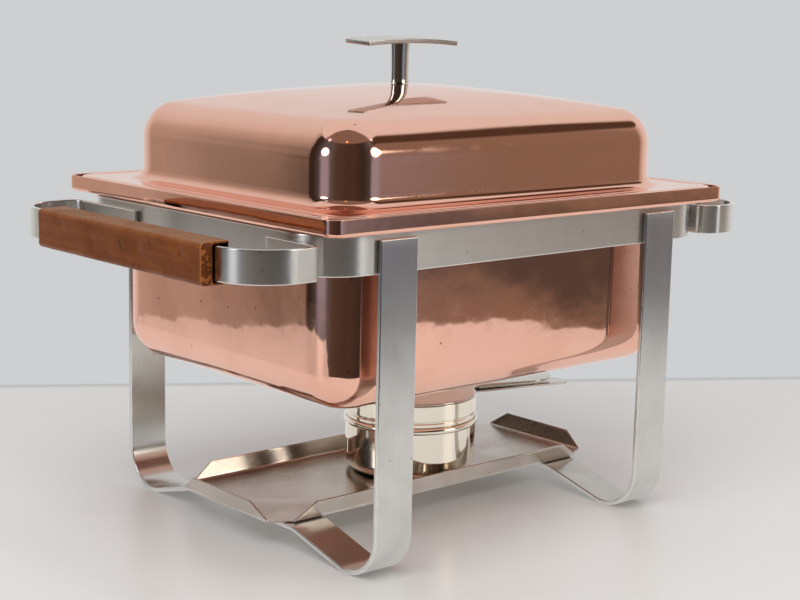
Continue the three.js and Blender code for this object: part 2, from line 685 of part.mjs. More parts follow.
function burnerCupGeometry() {
  const round = edgeArc(CUP_BASE_RADIUS, CUP_BASE_Z, 4);
  const inside = edgeArc(CUP_BASE_RADIUS - CUP_WALL, CUP_BASE_Z + CUP_WALL, 4);
  const outer = round.map(({ inset, z }) => [CUP_RADIUS - inset, z]);
  const inner = inside.map(({ inset, z }) => [CUP_RADIUS - CUP_WALL - inset, z]).reverse();
  const bead = Array.from({ length: 5 }, (_, step) => {
    const angle = (step / 4) * Math.PI - Math.PI / 2;
    const proud = BEAD_PROUD * Math.cos(angle);
    return [CUP_RADIUS + proud, BEAD_Z + (BEAD_HEIGHT / 2) * Math.sin(angle)];
  });
  const innerTop = [CUP_RADIUS - CUP_WALL, BEAD_Z + BEAD_HEIGHT / 2];
  const base = [0, CUP_BASE_Z];
  const floor = [0, CUP_BASE_Z + CUP_WALL];
  return turned([base, ...outer, ...bead, innerTop, ...inner, floor], ROUND_STEPS);
}

function fuelPotGeometry() {
  const lower = CUP_RADIUS - CUP_WALL - CLEARANCE;
  const bottom = CUP_BASE_Z + CUP_BASE_RADIUS + CLEARANCE;
  const shoulder = POT_SEAT_Z + POT_WALL;
  return turned(
    [
      [0, bottom],
      [lower - POT_WALL, bottom],
      [lower, bottom + POT_WALL],
      [lower, POT_SEAT_Z],
      [CUP_RADIUS, POT_SEAT_Z],
      [CUP_RADIUS, POT_RIM_Z],
      [CUP_RADIUS - POT_WALL, POT_RIM_Z],
      [CUP_RADIUS - POT_WALL, shoulder],
      [lower - POT_WALL, shoulder - POT_WALL],
      [lower - POT_WALL, bottom + POT_WALL],
      [0, bottom + POT_WALL],
    ],
    ROUND_STEPS,
  );
}

function potTopGeometry() {
  const outer = CUP_RADIUS - POT_WALL - CLEARANCE;
  return ring(FLAME_OPENING, outer, POT_RIM_Z - POT_TOP_SHEET, POT_RIM_Z, ROUND_STEPS);
}

// A leaf in plan: from a straight root it widens or narrows to a rounded end, in direction +X.
function leafShape(root, rootHalf, reach, endRadius) {
  const lean = Math.asin((endRadius - rootHalf) / (reach - root));
  const shape = new THREE.Shape();
  shape.moveTo(root, -rootHalf);
  shape.absarc(reach, 0, endRadius, -Math.PI / 2 - lean, Math.PI / 2 + lean, false);
  shape.lineTo(root, rootHalf);
  return shape;
}

function pivotHole() {
  const angle = radians(PIVOT_ANGLE);
  return rod(PIN_RADIUS + CLEARANCE, 0, SNUFFER_TOP_Z + PIN_HEAD_HEIGHT).translate(
    PIVOT_REACH * Math.cos(angle),
    PIVOT_REACH * Math.sin(angle),
    0,
  );
}

function snufferGeometry() {
  const disc = turned(
    [
      [0, SNUFFER_Z],
      [CUP_RADIUS - SNUFFER_EDGE / 2, SNUFFER_Z],
      [CUP_RADIUS, SNUFFER_Z + SNUFFER_EDGE / 2],
      [CUP_RADIUS, SNUFFER_TOP_Z - SNUFFER_EDGE],
      [CUP_RADIUS - SNUFFER_EDGE, SNUFFER_TOP_Z],
      [0, SNUFFER_TOP_Z],
    ],
    ROUND_STEPS,
  );
  const leaf = leafShape(CUP_RADIUS - NECK_HALF, NECK_HALF, PADDLE_REACH, PADDLE_END_RADIUS);
  const paddle = plate(leaf, SNUFFER_Z, SNUFFER_TOP_Z).rotateZ(radians(PADDLE_ANGLE));
  return cut(joined(disc, paddle), pivotHole());
}

function potHandleGeometry() {
  const leaf = leafShape(CUP_RADIUS - NECK_HALF, NECK_HALF, HANDLE_REACH, HANDLE_TIP_RADIUS);
  const blade = plate(leaf, HANDLE_TOP_Z - HANDLE_SHEET, HANDLE_TOP_Z).rotateZ(radians(HANDLE_ANGLE));
  const potSpace = turned(
    [
      [0, HANDLE_TOP_Z - 2 * HANDLE_SHEET],
      [CUP_RADIUS + CLEARANCE, HANDLE_TOP_Z - 2 * HANDLE_SHEET],
      [CUP_RADIUS + CLEARANCE, SNUFFER_TOP_Z],
      [0, SNUFFER_TOP_Z],
    ],
    2 * ROUND_STEPS,
  );
  return cut(blade, potSpace, pivotHole());
}

// Pin with a head over the snuffer lid and one under the handle, on its own axis.
function pivotPinGeometry() {
  const bottom = HANDLE_TOP_Z - HANDLE_SHEET - CLEARANCE;
  const top = SNUFFER_TOP_Z + CLEARANCE;
  return turned(
    [
      [0, bottom - PIN_HEAD_HEIGHT],
      [PIN_HEAD_RADIUS, bottom - PIN_HEAD_HEIGHT],
      [PIN_HEAD_RADIUS, bottom],
      [PIN_RADIUS, bottom],
      [PIN_RADIUS, top],
      [PIN_HEAD_RADIUS, top],
      [PIN_HEAD_RADIUS, top + PIN_HEAD_HEIGHT],
      [0, top + PIN_HEAD_HEIGHT],
    ],
    SMALL_STEPS,
  );
}

function pivotWasherGeometry() {
  const bottom = HANDLE_TOP_Z + CLEARANCE;
  const top = SNUFFER_Z - CLEARANCE;
  return ring(PIN_RADIUS + CLEARANCE, PIN_HEAD_RADIUS, bottom, top, SMALL_STEPS);
}

// ---- materials and scene graph ----

const steel = { color: 0xa9a6a0, roughness: 0.38, metalness: 1 };
const traySteel = { color: 0x8d8680, roughness: 0.32, metalness: 1 };
const polished = { color: 0xd9d2c0, roughness: 0.12, metalness: 1 };
const copper = { color: 0xe0a088, roughness: 0.1, metalness: 1 };
const wood = { color: 0x7a4526, roughness: 0.6, metalness: 0 };

function piece(name, geometry, finish) {
  const mesh = new THREE.Mesh(geometry, new THREE.MeshStandardMaterial(finish));
  mesh.name = name;
  return mesh;
}

function standGroup() {
  const stand = new THREE.Group();
  stand.add(piece("top_band", bandGeometry(), steel));
  stand.add(piece("leg_strip_left", legStripGeometry(-LEG_X), steel));
  stand.add(piece("leg_strip_right", legStripGeometry(LEG_X), steel));
  stand.add(piece("burner_tray", trayGeometry(), traySteel));
  return stand;
}

// The handle, turned about the middle; ends names its screws, the one near the short tab first.
function handleGroup(label, turn, ends) {
  const handle = new THREE.Group();
  handle.rotation.z = turn;
  handle.add(piece(`handle_bow_${label}`, bowGeometry(), steel));
  handle.add(piece(`grip_${label}`, gripGeometry(), wood));
  gripScrewPlaces().forEach((y, i) => {
    handle.add(piece(`grip_screw_${label}_${ends[i]}`, gripScrewGeometry(y), steel));
  });
  return handle;
}

function lidGroup() {
  const lid = new THREE.Group();
  lid.add(piece("lid_shell", lidGeometry(), copper));
  lid.add(piece("knob_post", knobPostGeometry(), polished));
  lid.add(piece("knob_plate", knobPlateGeometry(), steel));
  lid.add(piece("knob_washer", knobWasherGeometry(), steel));
  lid.add(piece("knob_screw", knobScrewGeometry(), steel));
  return lid;
}

function burnerGroup() {
  const burner = new THREE.Group();
  burner.position.set(BURNER_X, 0, 0);
  burner.add(piece("burner_cup", burnerCupGeometry(), polished));
  burner.add(piece("fuel_pot", fuelPotGeometry(), polished));
  burner.add(piece("pot_top", potTopGeometry(), polished));
  burner.add(piece("pot_handle", potHandleGeometry(), polished));
  burner.add(piece("snuffer_lid", snufferGeometry(), polished));
  const pivot = new THREE.Group();
  const angle = radians(PIVOT_ANGLE);
  pivot.position.set(PIVOT_REACH * Math.cos(angle), PIVOT_REACH * Math.sin(angle), 0);
  pivot.add(piece("pivot_pin", pivotPinGeometry(), steel));
  pivot.add(piece("pivot_washer", pivotWasherGeometry(), steel));
  burner.add(pivot);
  return burner;
}

const warmer = new THREE.Group();
warmer.add(standGroup());
warmer.add(handleGroup("left", 0, ["front", "rear"]));
warmer.add(handleGroup("right", Math.PI, ["rear", "front"]));
warmer.add(piece("water_pan", waterPanGeometry(), copper));
warmer.add(piece("food_pan", foodPanGeometry(), steel));
warmer.add(lidGroup());
warmer.add(burnerGroup());

export default warmer;
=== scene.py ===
"""Fine surfaces, finishes, lights and camera for the chafing dish food warmer.

Sizes are in millimetres and become metres when a surface is made into a mesh.
"""

import logging
from collections.abc import Sequence
from dataclasses import dataclass, field
from enum import Enum
from math import cos, pi, radians, sin

import bpy
import numpy as np
from mathutils import Matrix, Vector
from numpy.typing import NDArray


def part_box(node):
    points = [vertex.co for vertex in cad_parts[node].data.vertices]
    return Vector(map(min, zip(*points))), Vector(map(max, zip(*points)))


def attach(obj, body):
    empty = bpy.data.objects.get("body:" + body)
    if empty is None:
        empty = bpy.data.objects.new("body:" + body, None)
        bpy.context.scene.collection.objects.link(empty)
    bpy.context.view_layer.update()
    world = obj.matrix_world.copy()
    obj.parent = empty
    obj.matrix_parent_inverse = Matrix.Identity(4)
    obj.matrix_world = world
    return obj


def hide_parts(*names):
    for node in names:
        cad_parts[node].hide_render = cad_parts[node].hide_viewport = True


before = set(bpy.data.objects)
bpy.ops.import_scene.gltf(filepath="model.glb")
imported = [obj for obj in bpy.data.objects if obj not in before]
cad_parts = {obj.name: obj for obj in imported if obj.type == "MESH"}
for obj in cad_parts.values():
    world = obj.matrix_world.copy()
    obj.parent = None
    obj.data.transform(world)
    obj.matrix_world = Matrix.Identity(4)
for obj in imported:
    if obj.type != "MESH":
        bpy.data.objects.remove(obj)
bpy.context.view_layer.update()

Array = NDArray[np.float64]
Socket = bpy.types.NodeSocket
LOG = logging.getLogger("warmer")
MM = 0.001


class Body(Enum):
    """The moving bodies that a piece can ride on."""

    STAND = "stand"
    WATER_PAN = "water_pan"
    FOOD_PAN = "food_pan"
    LID = "lid"
    BURNER = "burner"
    SNUFFER = "snuffer"


class Side(Enum):
    """The two ends of the long axis."""

    LEFT = -1
    RIGHT = 1


@dataclass(frozen=True)
class Box:
    """The box of a CAD node, in millimetres.

    Args:
        low: lowest corner.
        high: highest corner.
    """

    low: Array
    high: Array

    @classmethod
    def of(cls, node: str) -> "Box":
        """Reads the box of the node of that name."""
        low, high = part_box(node)
        return cls(np.array(low) / MM, np.array(high) / MM)

    @property
    def middle(self) -> Array:
        """Centre of the box."""
        return (self.low + self.high) / 2

    @property
    def half(self) -> Array:
        """Half sizes of the box."""
        return (self.high - self.low) / 2


# ---- plane curves ----


def filleted(corners: Sequence[tuple[float, float, float]], steps: int = 8, closed: bool = False) -> Array:
    """A polyline whose corners are rounded by arcs.

    Formula: at a corner the arc of radius r touches both sides at r / tan(half the angle between
    them), and its points are the centre plus r times the unit vector turned from one tangent point
    to the other in equal angles. A point just outside each end of the arc keeps flats flat.

    Args:
        corners: (x, y, radius) at each corner; a radius of 0 leaves the corner as it is.
        steps: segments of a quarter turn.
        closed: whether the last corner joins the first.

    Returns:
        Points as an (n, 2) array.
    """
    given = np.array([c[:2] for c in corners], float)
    count = len(given)
    pieces: list[Array] = []
    for i, (_, _, radius) in enumerate(corners):
        here = given[i]
        if radius <= 0 or (not closed and i in (0, count - 1)):
            pieces.append(here[None])
            continue
        back = given[i - 1] - here
        ahead = given[(i + 1) % count] - here
        hold = 0.04 * np.minimum([np.linalg.norm(back), np.linalg.norm(ahead)], 7.5)
        back /= np.linalg.norm(back)
        ahead /= np.linalg.norm(ahead)
        half = np.arccos(np.clip(back @ ahead, -1, 1)) / 2
        bisector = back + ahead
        centre = here + bisector / np.linalg.norm(bisector) * radius / sin(half)
        start = here + back * radius / np.tan(half)
        end = here + ahead * radius / np.tan(half)
        spoke = start - centre
        turn = np.arctan2(np.cross(spoke, end - centre), spoke @ (end - centre))
        number = max(2, round(abs(turn) / (pi / 2) * steps))
        angle = np.linspace(0, turn, number + 1)[:, None]
        across = np.array([-spoke[1], spoke[0]])
        arc = centre + np.cos(angle) * spoke + np.sin(angle) * across
        pieces.append(np.vstack([start + back * hold[0], arc, end + ahead * hold[1]]))
    return np.vstack(pieces)


def refined(points: Array, longest: float, closed: bool = False) -> Array:
    """The polyline with extra points, so that no stretch is longer than a given length.

    Args:
        points: (n, 2) polyline.
        longest: longest stretch allowed.
        closed: whether the last point joins the first.

    Returns:
        Points as an (m, 2) array, which keeps every given point.
    """
    ring = np.vstack([points, points[:1]]) if closed else points
    length = np.linalg.norm(np.diff(ring, axis=0), axis=1)
    cuts = np.maximum(1, np.ceil(length / longest).astype(int))
    spot = np.concatenate([k + np.arange(c) / c for k, c in enumerate(cuts)])
    spot = spot if closed else np.append(spot, len(ring) - 1)
    index = np.arange(len(ring))
    return np.column_stack([np.interp(spot, index, ring[:, k]) for k in (0, 1)])


def normals_of(points: Array, closed: bool) -> Array:
    """Unit normals on the left of a polyline's direction of travel.

    Formula: the tangent is the mean of the unit steps before and after a point, and the normal is
    that tangent turned a quarter turn, divided by the cosine of half the turn there.

    Args:
        points: (n, 2) polyline.
        closed: whether the last point joins the first.

    Returns:
        (n, 2) unit normals.
    """
    if closed:
        before = points - np.roll(points, 1, axis=0)
        after = np.roll(points, -1, axis=0) - points
    else:
        step = np.diff(points, axis=0)
        before = np.vstack([step[:1], step])
        after = np.vstack([step, step[-1:]])
    before /= np.linalg.norm(before, axis=1, keepdims=True)
    after /= np.linalg.norm(after, axis=1, keepdims=True)
    mean = (before + after) / 2
    mean /= (mean**2).sum(1, keepdims=True)
    return np.column_stack([-mean[:, 1], mean[:, 0]])


def rounded_rings(half_x: Array, half_y: Array, corner: Array, z: Array, arc: int = 22) -> Array:
    """Rings round rounded rectangles, one for each row, counter-clockwise from above.

    Formula: each quarter is the corner's centre plus its radius times (cos, sin), and each side is
    the straight line between two quarters, with points near its ends to keep the flat flat.

    Args:
        half_x: half length of each ring.
        half_y: half width of each ring.
        corner: corner radius of each ring.
        z: height of each ring.
        arc: segments of a corner.

    Returns:
        Points as a (rows, columns, 3) array.
    """
    radius = np.minimum(np.minimum(corner, half_x - 0.01), half_y - 0.01)[:, None, None]
    sign = np.array([(1, 1), (-1, 1), (-1, -1), (1, -1)], float)
    middle_x = sign[:, 0][None, :, None] * (half_x[:, None, None] - radius)
    middle_y = sign[:, 1][None, :, None] * (half_y[:, None, None] - radius)
    angle = (np.arange(4)[:, None] * pi / 2 + np.linspace(0, pi / 2, arc + 1))[None]
    arcs = np.stack([middle_x + radius * np.cos(angle), middle_y + radius * np.sin(angle)], -1)
    first = arcs[:, :, -1:, :]
    last = np.roll(arcs, -1, axis=1)[:, :, :1, :]
    share = np.array([0.01, 0.03, 0.1, 0.22, 0.36, 0.5, 0.64, 0.78, 0.9, 0.97, 0.99])[None, None, :, None]
    ring = np.concatenate([arcs, first + (last - first) * share], axis=2)
    ring = ring.reshape(len(half_x), -1, 2)
    height = np.broadcast_to(z[:, None, None], (*ring.shape[:2], 1))
    return np.concatenate([ring, height], axis=2)


def turned(profile: Array, columns: int = 96) -> Array:
    """A profile of (radius, height) turned round the Z axis, as a (rows, columns, 3) array.

    Formula: x is radius times cos, y is radius times sin of equal steps of a full turn.

    Args:
        profile: (n, 2) radii and heights.
        columns: how many steps make a turn.

    Returns:
        (rows, columns, 3) places.
    """
    angle = np.arange(columns) / columns * 2 * pi
    radius, z = profile[:, :1], profile[:, 1:]
    return np.stack([radius * np.cos(angle), radius * np.sin(angle), z + 0 * angle], -1)


def ripple(points: Array, wave: float, depth: float, seed: int) -> Array:
    """Slow uneven waves that a hand-worked or worn surface has.

    Formula: the sum of six sines of the dot product of the point with fixed random directions of
    about 2 pi / wave, each with its own phase, times depth / 3.

    Args:
        points: (..., 3) places.
        wave: length of the waves.
        depth: about the largest height.
        seed: choice of the directions.

    Returns:
        Heights with the shape of the places.
    """
    dice = np.random.default_rng(seed)
    way = dice.normal(size=(6, 3))
    way *= 2 * pi / wave * dice.uniform(0.6, 1.6, (6, 1)) / np.linalg.norm(way, axis=1, keepdims=True)
    return np.sin(points @ way.T + dice.uniform(0, 2 * pi, 6)).sum(-1) * depth / 3


# ---- meshes ----


def bend_of(grid: Array, wrap_rows: bool, wrap_columns: bool) -> Array:
    """How sharply a surface bends at each point of its grid, in 1 / mm.

    Formula: along rows and along columns, the length of the change of the unit step divided by the
    mean length of the two steps; the larger of both counts.

    Args:
        grid: (rows, columns, 3) places.
        wrap_rows: the last row joins the first.
        wrap_columns: the last column joins the first.

    Returns:
        (rows, columns) bends.
    """
    sharpest = np.zeros(grid.shape[:2])
    for axis, wrap in ((0, wrap_rows), (1, wrap_columns)):
        after = np.roll(grid, -1, axis) - grid
        before = grid - np.roll(grid, 1, axis)
        long_after = np.linalg.norm(after, axis=2) + 1e-6
        long_before = np.linalg.norm(before, axis=2) + 1e-6
        change = np.linalg.norm(after / long_after[..., None] - before / long_before[..., None], axis=2)
        value = change / ((long_after + long_before) / 2)
        if not wrap:
            edge = [slice(None), slice(None)]
            edge[axis] = [0, -1]
            value[tuple(edge)] = 0
        sharpest = np.maximum(sharpest, np.minimum(value, 2))
    return sharpest


@dataclass
class Skin:
    """A closed surface on a grid of points, ready to become a mesh.

    Args:
        grid: (rows, columns, 3) places in millimetres.
        wrap_rows: the last row joins the first.
        wrap_columns: the last column joins the first.
        caps: close the first and last rows, "fan" to a middle point or "face" by one face.
    """

    grid: Array
    wrap_rows: bool = False
    wrap_columns: bool = True
    caps: str = "fan"

    def turned_in(self) -> bool:
        """Whether the faces look inward.

        Formula: the sum over grid squares of p . (q x r) for both triangles, and over cap
        triangles, is six times the volume when the faces look outward.

        Returns:
            True if the enclosed volume comes out negative.
        """
        ring = np.concatenate([self.grid, self.grid[:1]]) if self.wrap_rows else self.grid
        wide = np.concatenate([ring, ring[:, :1]], 1) if self.wrap_columns else ring
        a, b, c, d = wide[:-1, :-1], wide[:-1, 1:], wide[1:, 1:], wide[1:, :-1]
        volume = (a * np.cross(b, c)).sum() + (a * np.cross(c, d)).sum()
        if not self.wrap_rows and self.wrap_columns:
            for loop in (self.grid[0][::-1], self.grid[-1]):
                volume += (loop * np.cross(np.roll(loop, -1, 0), loop.mean(0))).sum()
        return bool(volume < 0)

    def faces(self) -> tuple[list[tuple[int, ...]], Array, Array]:
        """Faces of the grid and its caps.

        Returns:
            The faces, the extra points of the caps, and (u, v) in millimetres for each face corner.
        """
        rows, columns = self.grid.shape[:2]
        row = np.arange(rows if self.wrap_rows else rows - 1)[:, None]
        column = np.arange(columns if self.wrap_columns else columns - 1)[None]
        corners = [(row, column), (row, column + 1), (row + 1, column + 1), (row + 1, column)]
        index = [(r % rows) * columns + c % columns for r, c in corners]
        quads = np.stack(np.broadcast_arrays(*index), -1).reshape(-1, 4)
        ring = np.concatenate([self.grid, self.grid[:1]], 0)
        line = np.concatenate([ring, ring[:, :1]], 1)
        down = np.linalg.norm(np.diff(line, axis=0), axis=2).mean(1)
        along = np.linalg.norm(np.diff(line, axis=1), axis=2).mean(0)
        u = np.append(0, np.cumsum(down))
        v = np.append(0, np.cumsum(along))
        flat = [np.stack(np.broadcast_arrays(u[r], v[c]), -1) for r, c in corners]
        places = np.stack(flat, 2).reshape(-1, 4, 2)
        faces = [tuple(f) for f in quads.tolist()]
        spots = [places.reshape(-1, 2)]
        extra = np.zeros((0, 3))
        if not self.wrap_rows and self.wrap_columns:
            for start, step in ((0, -1), ((rows - 1) * columns, 1)):
                loop = np.arange(start, start + columns)[::step]
                at = self.grid.reshape(-1, 3)[loop]
                if self.caps == "face":
                    faces.append(tuple(loop.tolist()))
                    spots.append(at[:, :2] + at[:, 2:])
                    continue
                hub = rows * columns + len(extra)
                extra = np.vstack([extra, at.mean(0)])
                following = np.roll(loop, -1)
                faces += [(a, b, hub) for a, b in zip(loop.tolist(), following.tolist())]
                middle = np.broadcast_to(at.mean(0), at.shape)
                fan = np.stack([at, np.roll(at, -1, axis=0), middle], 1)
                spots.append((fan[..., :2] + fan[..., 2:]).reshape(-1, 2))
        if self.turned_in():
            faces = [f[::-1] for f in faces]
            sizes = np.array([len(f) for f in faces])
            ends = np.cumsum(sizes)
            back = np.repeat(2 * ends - sizes - 1, sizes) - np.arange(ends[-1])
            return faces, extra, np.vstack(spots)[back]
        return faces, extra, np.vstack(spots)

    def bend(self) -> Array:
        """How sharply the surface bends at each grid point, in 1 / mm."""
        return bend_of(self.grid, self.wrap_rows, self.wrap_columns).reshape(-1)


def new_mesh(
    name: str, points: Array, faces: list[tuple[int, ...]], spots: Array, bends: Array, sharp: float = 38
) -> bpy.types.Object:
    """A mesh object at the origin, with UVs in metres and a "bend" attribute.

    Args:
        name: name of the object.
        points: its vertices in millimetres.
        faces: vertex numbers of each face.
        spots: (u, v) in millimetres of each face corner.
        bends: how sharply the surface bends at each vertex, in 1 / mm.
        sharp: edges that turn by more degrees than this stay sharp.

    Returns:
        The new object.
    """
    mesh = bpy.data.meshes.new(name)
    mesh.from_pydata((points * MM).tolist(), [], faces)
    layer = mesh.uv_layers.new(name="surface")
    layer.data.foreach_set("uv", (spots * MM).astype(np.float32).ravel())
    worn = mesh.attributes.new("bend", "FLOAT", "POINT")
    worn.data.foreach_set("value", bends.astype(np.float32))
    mesh.update()
    mesh.shade_smooth()
    mesh.set_sharp_from_angle(angle=radians(sharp))
    made = bpy.data.objects.new(name, mesh)
    bpy.context.scene.collection.objects.link(made)
    return made


def mesh_object(name: str, skins: Sequence[Skin], sharp: float = 38) -> bpy.types.Object:
    """One mesh object from closed surfaces.

    Args:
        name: name of the object.
        skins: its surfaces.
        sharp: edges that turn by more degrees than this stay sharp.

    Returns:
        The new object, at the origin.
    """
    points: list[Array] = []
    faces: list[tuple[int, ...]] = []
    spots: list[Array] = []
    bends: list[Array] = []
    total = 0
    for skin in skins:
        own, extra, places = skin.faces()
        every = np.vstack([skin.grid.reshape(-1, 3), extra])
        faces += [tuple(i + total for i in f) for f in own]
        spots.append(places)
        bends.append(np.append(skin.bend(), np.zeros(len(extra))))
        points.append(every)
        total += len(every)
    return new_mesh(name, np.vstack(points), faces, np.vstack(spots), np.concatenate(bends), sharp)


def carried(path: Array, section: Array, ends: float = 0.0, closed: bool = False) -> Array:
    """A closed section carried along a plane path, with rounded ends.

    Formula: a point is the path's point plus the section's first coordinate times the path's
    normal, and its second coordinate along the third axis. Towards an open end the section draws
    in by ends * (1 - sin a) while the path gains ends * (1 - cos a), for a from 0 to a quarter turn.

    Args:
        path: (n, 2) polyline.
        section: (m, 2) closed outline, first coordinate across the path.
        ends: radius of the rounded ends.
        closed: the path is a ring.

    Returns:
        (rows, columns, 3) array in (path x, path y, section) coordinates.
    """
    across = normals_of(path, closed)
    inward = normals_of(section, True)
    shrink = np.zeros(len(path))
    if ends > 0:
        angle = np.linspace(0, pi / 2, 5)[:-1]
        near = path[:1] + (path[1:2] - path[:1]) / np.linalg.norm(path[1] - path[0]) * (
            ends * (1 - np.cos(angle))
        )[:, None]
        far = path[-1:] + (path[-2:-1] - path[-1:]) / np.linalg.norm(path[-1] - path[-2]) * (
            ends * (1 - np.cos(angle))
        )[:, None]
        first = path[:1] + (path[1:2] - path[:1]) / np.linalg.norm(path[1] - path[0]) * ends
        last = path[-1:] + (path[-2:-1] - path[-1:]) / np.linalg.norm(path[-1] - path[-2]) * ends
        draw = ends * (1 - np.sin(angle))
        path = np.vstack([near, first, path[1:-1], last, far[::-1]])
        across = np.vstack([across[:1].repeat(5, 0), across[1:-1], across[-1:].repeat(5, 0)])
        shrink = np.concatenate([draw, [0], shrink[1:-1], [0], draw[::-1]])
    outline = section[None] + inward[None] * shrink[:, None, None]
    plane = path[:, None] + across[:, None] * outline[..., :1]
    return np.concatenate([plane, outline[..., 1:]], axis=2)


def bar_section(thick: float, wide: float, edge: float) -> Array:
    """Closed outline of a flat bar with rounded edges, counter-clockwise."""
    t, w = thick / 2, wide / 2
    return refined(filleted([(-t, -w, edge), (t, -w, edge), (t, w, edge), (-t, w, edge)], 5, True), 6, True)


def placed(grid: Array, axes: Sequence[Sequence[float]], shift: Sequence[float] = (0, 0, 0)) -> Array:
    """The grid with its three coordinates along the given axes, moved by the shift."""
    return grid @ np.array(axes, float) + np.array(shift, float)


# ---- node boards ----


class Board:
    """A node tree in the making, with short calls to place and link nodes.

    Args:
        tree: the node tree to fill.
    """

    def __init__(self, tree: bpy.types.NodeTree) -> None:
        """Takes the tree and empties it."""
        self.tree = tree
        self.tree.nodes.clear()

    def add(
        self, kind: str, links: dict | None = None, out: int | str = 0, **settings: object
    ) -> Socket:
        """Places a node.

        Args:
            kind: node type without its "ShaderNode" prefix.
            links: socket name or number to a value or an output socket.
            out: which output to return.
            **settings: properties of the node.

        Returns:
            The chosen output socket.
        """
        name = kind if kind.startswith("Node") else "ShaderNode" + kind
        node = self.tree.nodes.new(name)
        for key, value in settings.items():
            setattr(node, key, value)
        for key, value in (links or {}).items():
            if isinstance(value, Socket):
                self.tree.links.new(value, node.inputs[key])
            else:
                node.inputs[key].default_value = value
        return node.outputs[out] if len(node.outputs) else node.inputs[0]

    def math(self, way: str, a: object, b: object = 0.0, c: object = 0.0) -> Socket:
        """A Math node of the given operation."""
        return self.add("Math", {0: a, 1: b, 2: c}, operation=way)

    def ramp(
        self, value: object, low: float, high: float, to_low: float = 0.0, to_high: float = 1.0
    ) -> Socket:
        """A smooth step from one level to another, as a value socket."""
        links = {"Value": value, "From Min": low, "From Max": high, "To Min": to_low, "To Max": to_high}
        return self.add("MapRange", links, interpolation_type="SMOOTHSTEP")

    def blend(self, share: object, a: object, b: object, way: str = "MIX") -> Socket:
        """A colour between a and b."""
        links = {0: share, 6: a, 7: b}
        return self.add("Mix", links, 2, data_type="RGBA", blend_type=way)

    def stretch(self, vector: object, factors: Sequence[float]) -> Socket:
        """The vector times a factor on each axis."""
        return self.add("VectorMath", {0: vector, 1: tuple(factors)}, operation="MULTIPLY")

    def noise(
        self, vector: object, scale: object, detail: float = 3.0, rough: float = 0.55, warp: float = 0.0
    ) -> Socket:
        """Fractal noise from 0 to 1."""
        links = {"Vector": vector, "Scale": scale, "Detail": detail, "Roughness": rough, "Distortion": warp}
        return self.add("TexNoise", links, "Fac")


def new_group(name: str, inputs: dict[str, tuple[str, float]], outputs: Sequence[str]) -> tuple[Board, dict]:
    """An empty shader node group with named sockets.

    Args:
        name: name of the group.
        inputs: socket name to (kind, first value); kind is "Vector" or "Float".
        outputs: names of the value outputs.

    Returns:
        The board of the group and its input sockets by name.
    """
    tree = bpy.data.node_groups.new(name, "ShaderNodeTree")
    board = Board(tree)
    for title, (kind, value) in inputs.items():
        socket = tree.interface.new_socket(title, in_out="INPUT", socket_type=f"NodeSocket{kind}")
        if kind == "Float":
            socket.default_value = value
    for title in outputs:
        tree.interface.new_socket(title, in_out="OUTPUT", socket_type="NodeSocketFloat")
    entry = tree.nodes.new("NodeGroupInput")
    return board, {title: entry.outputs[title] for title in inputs}


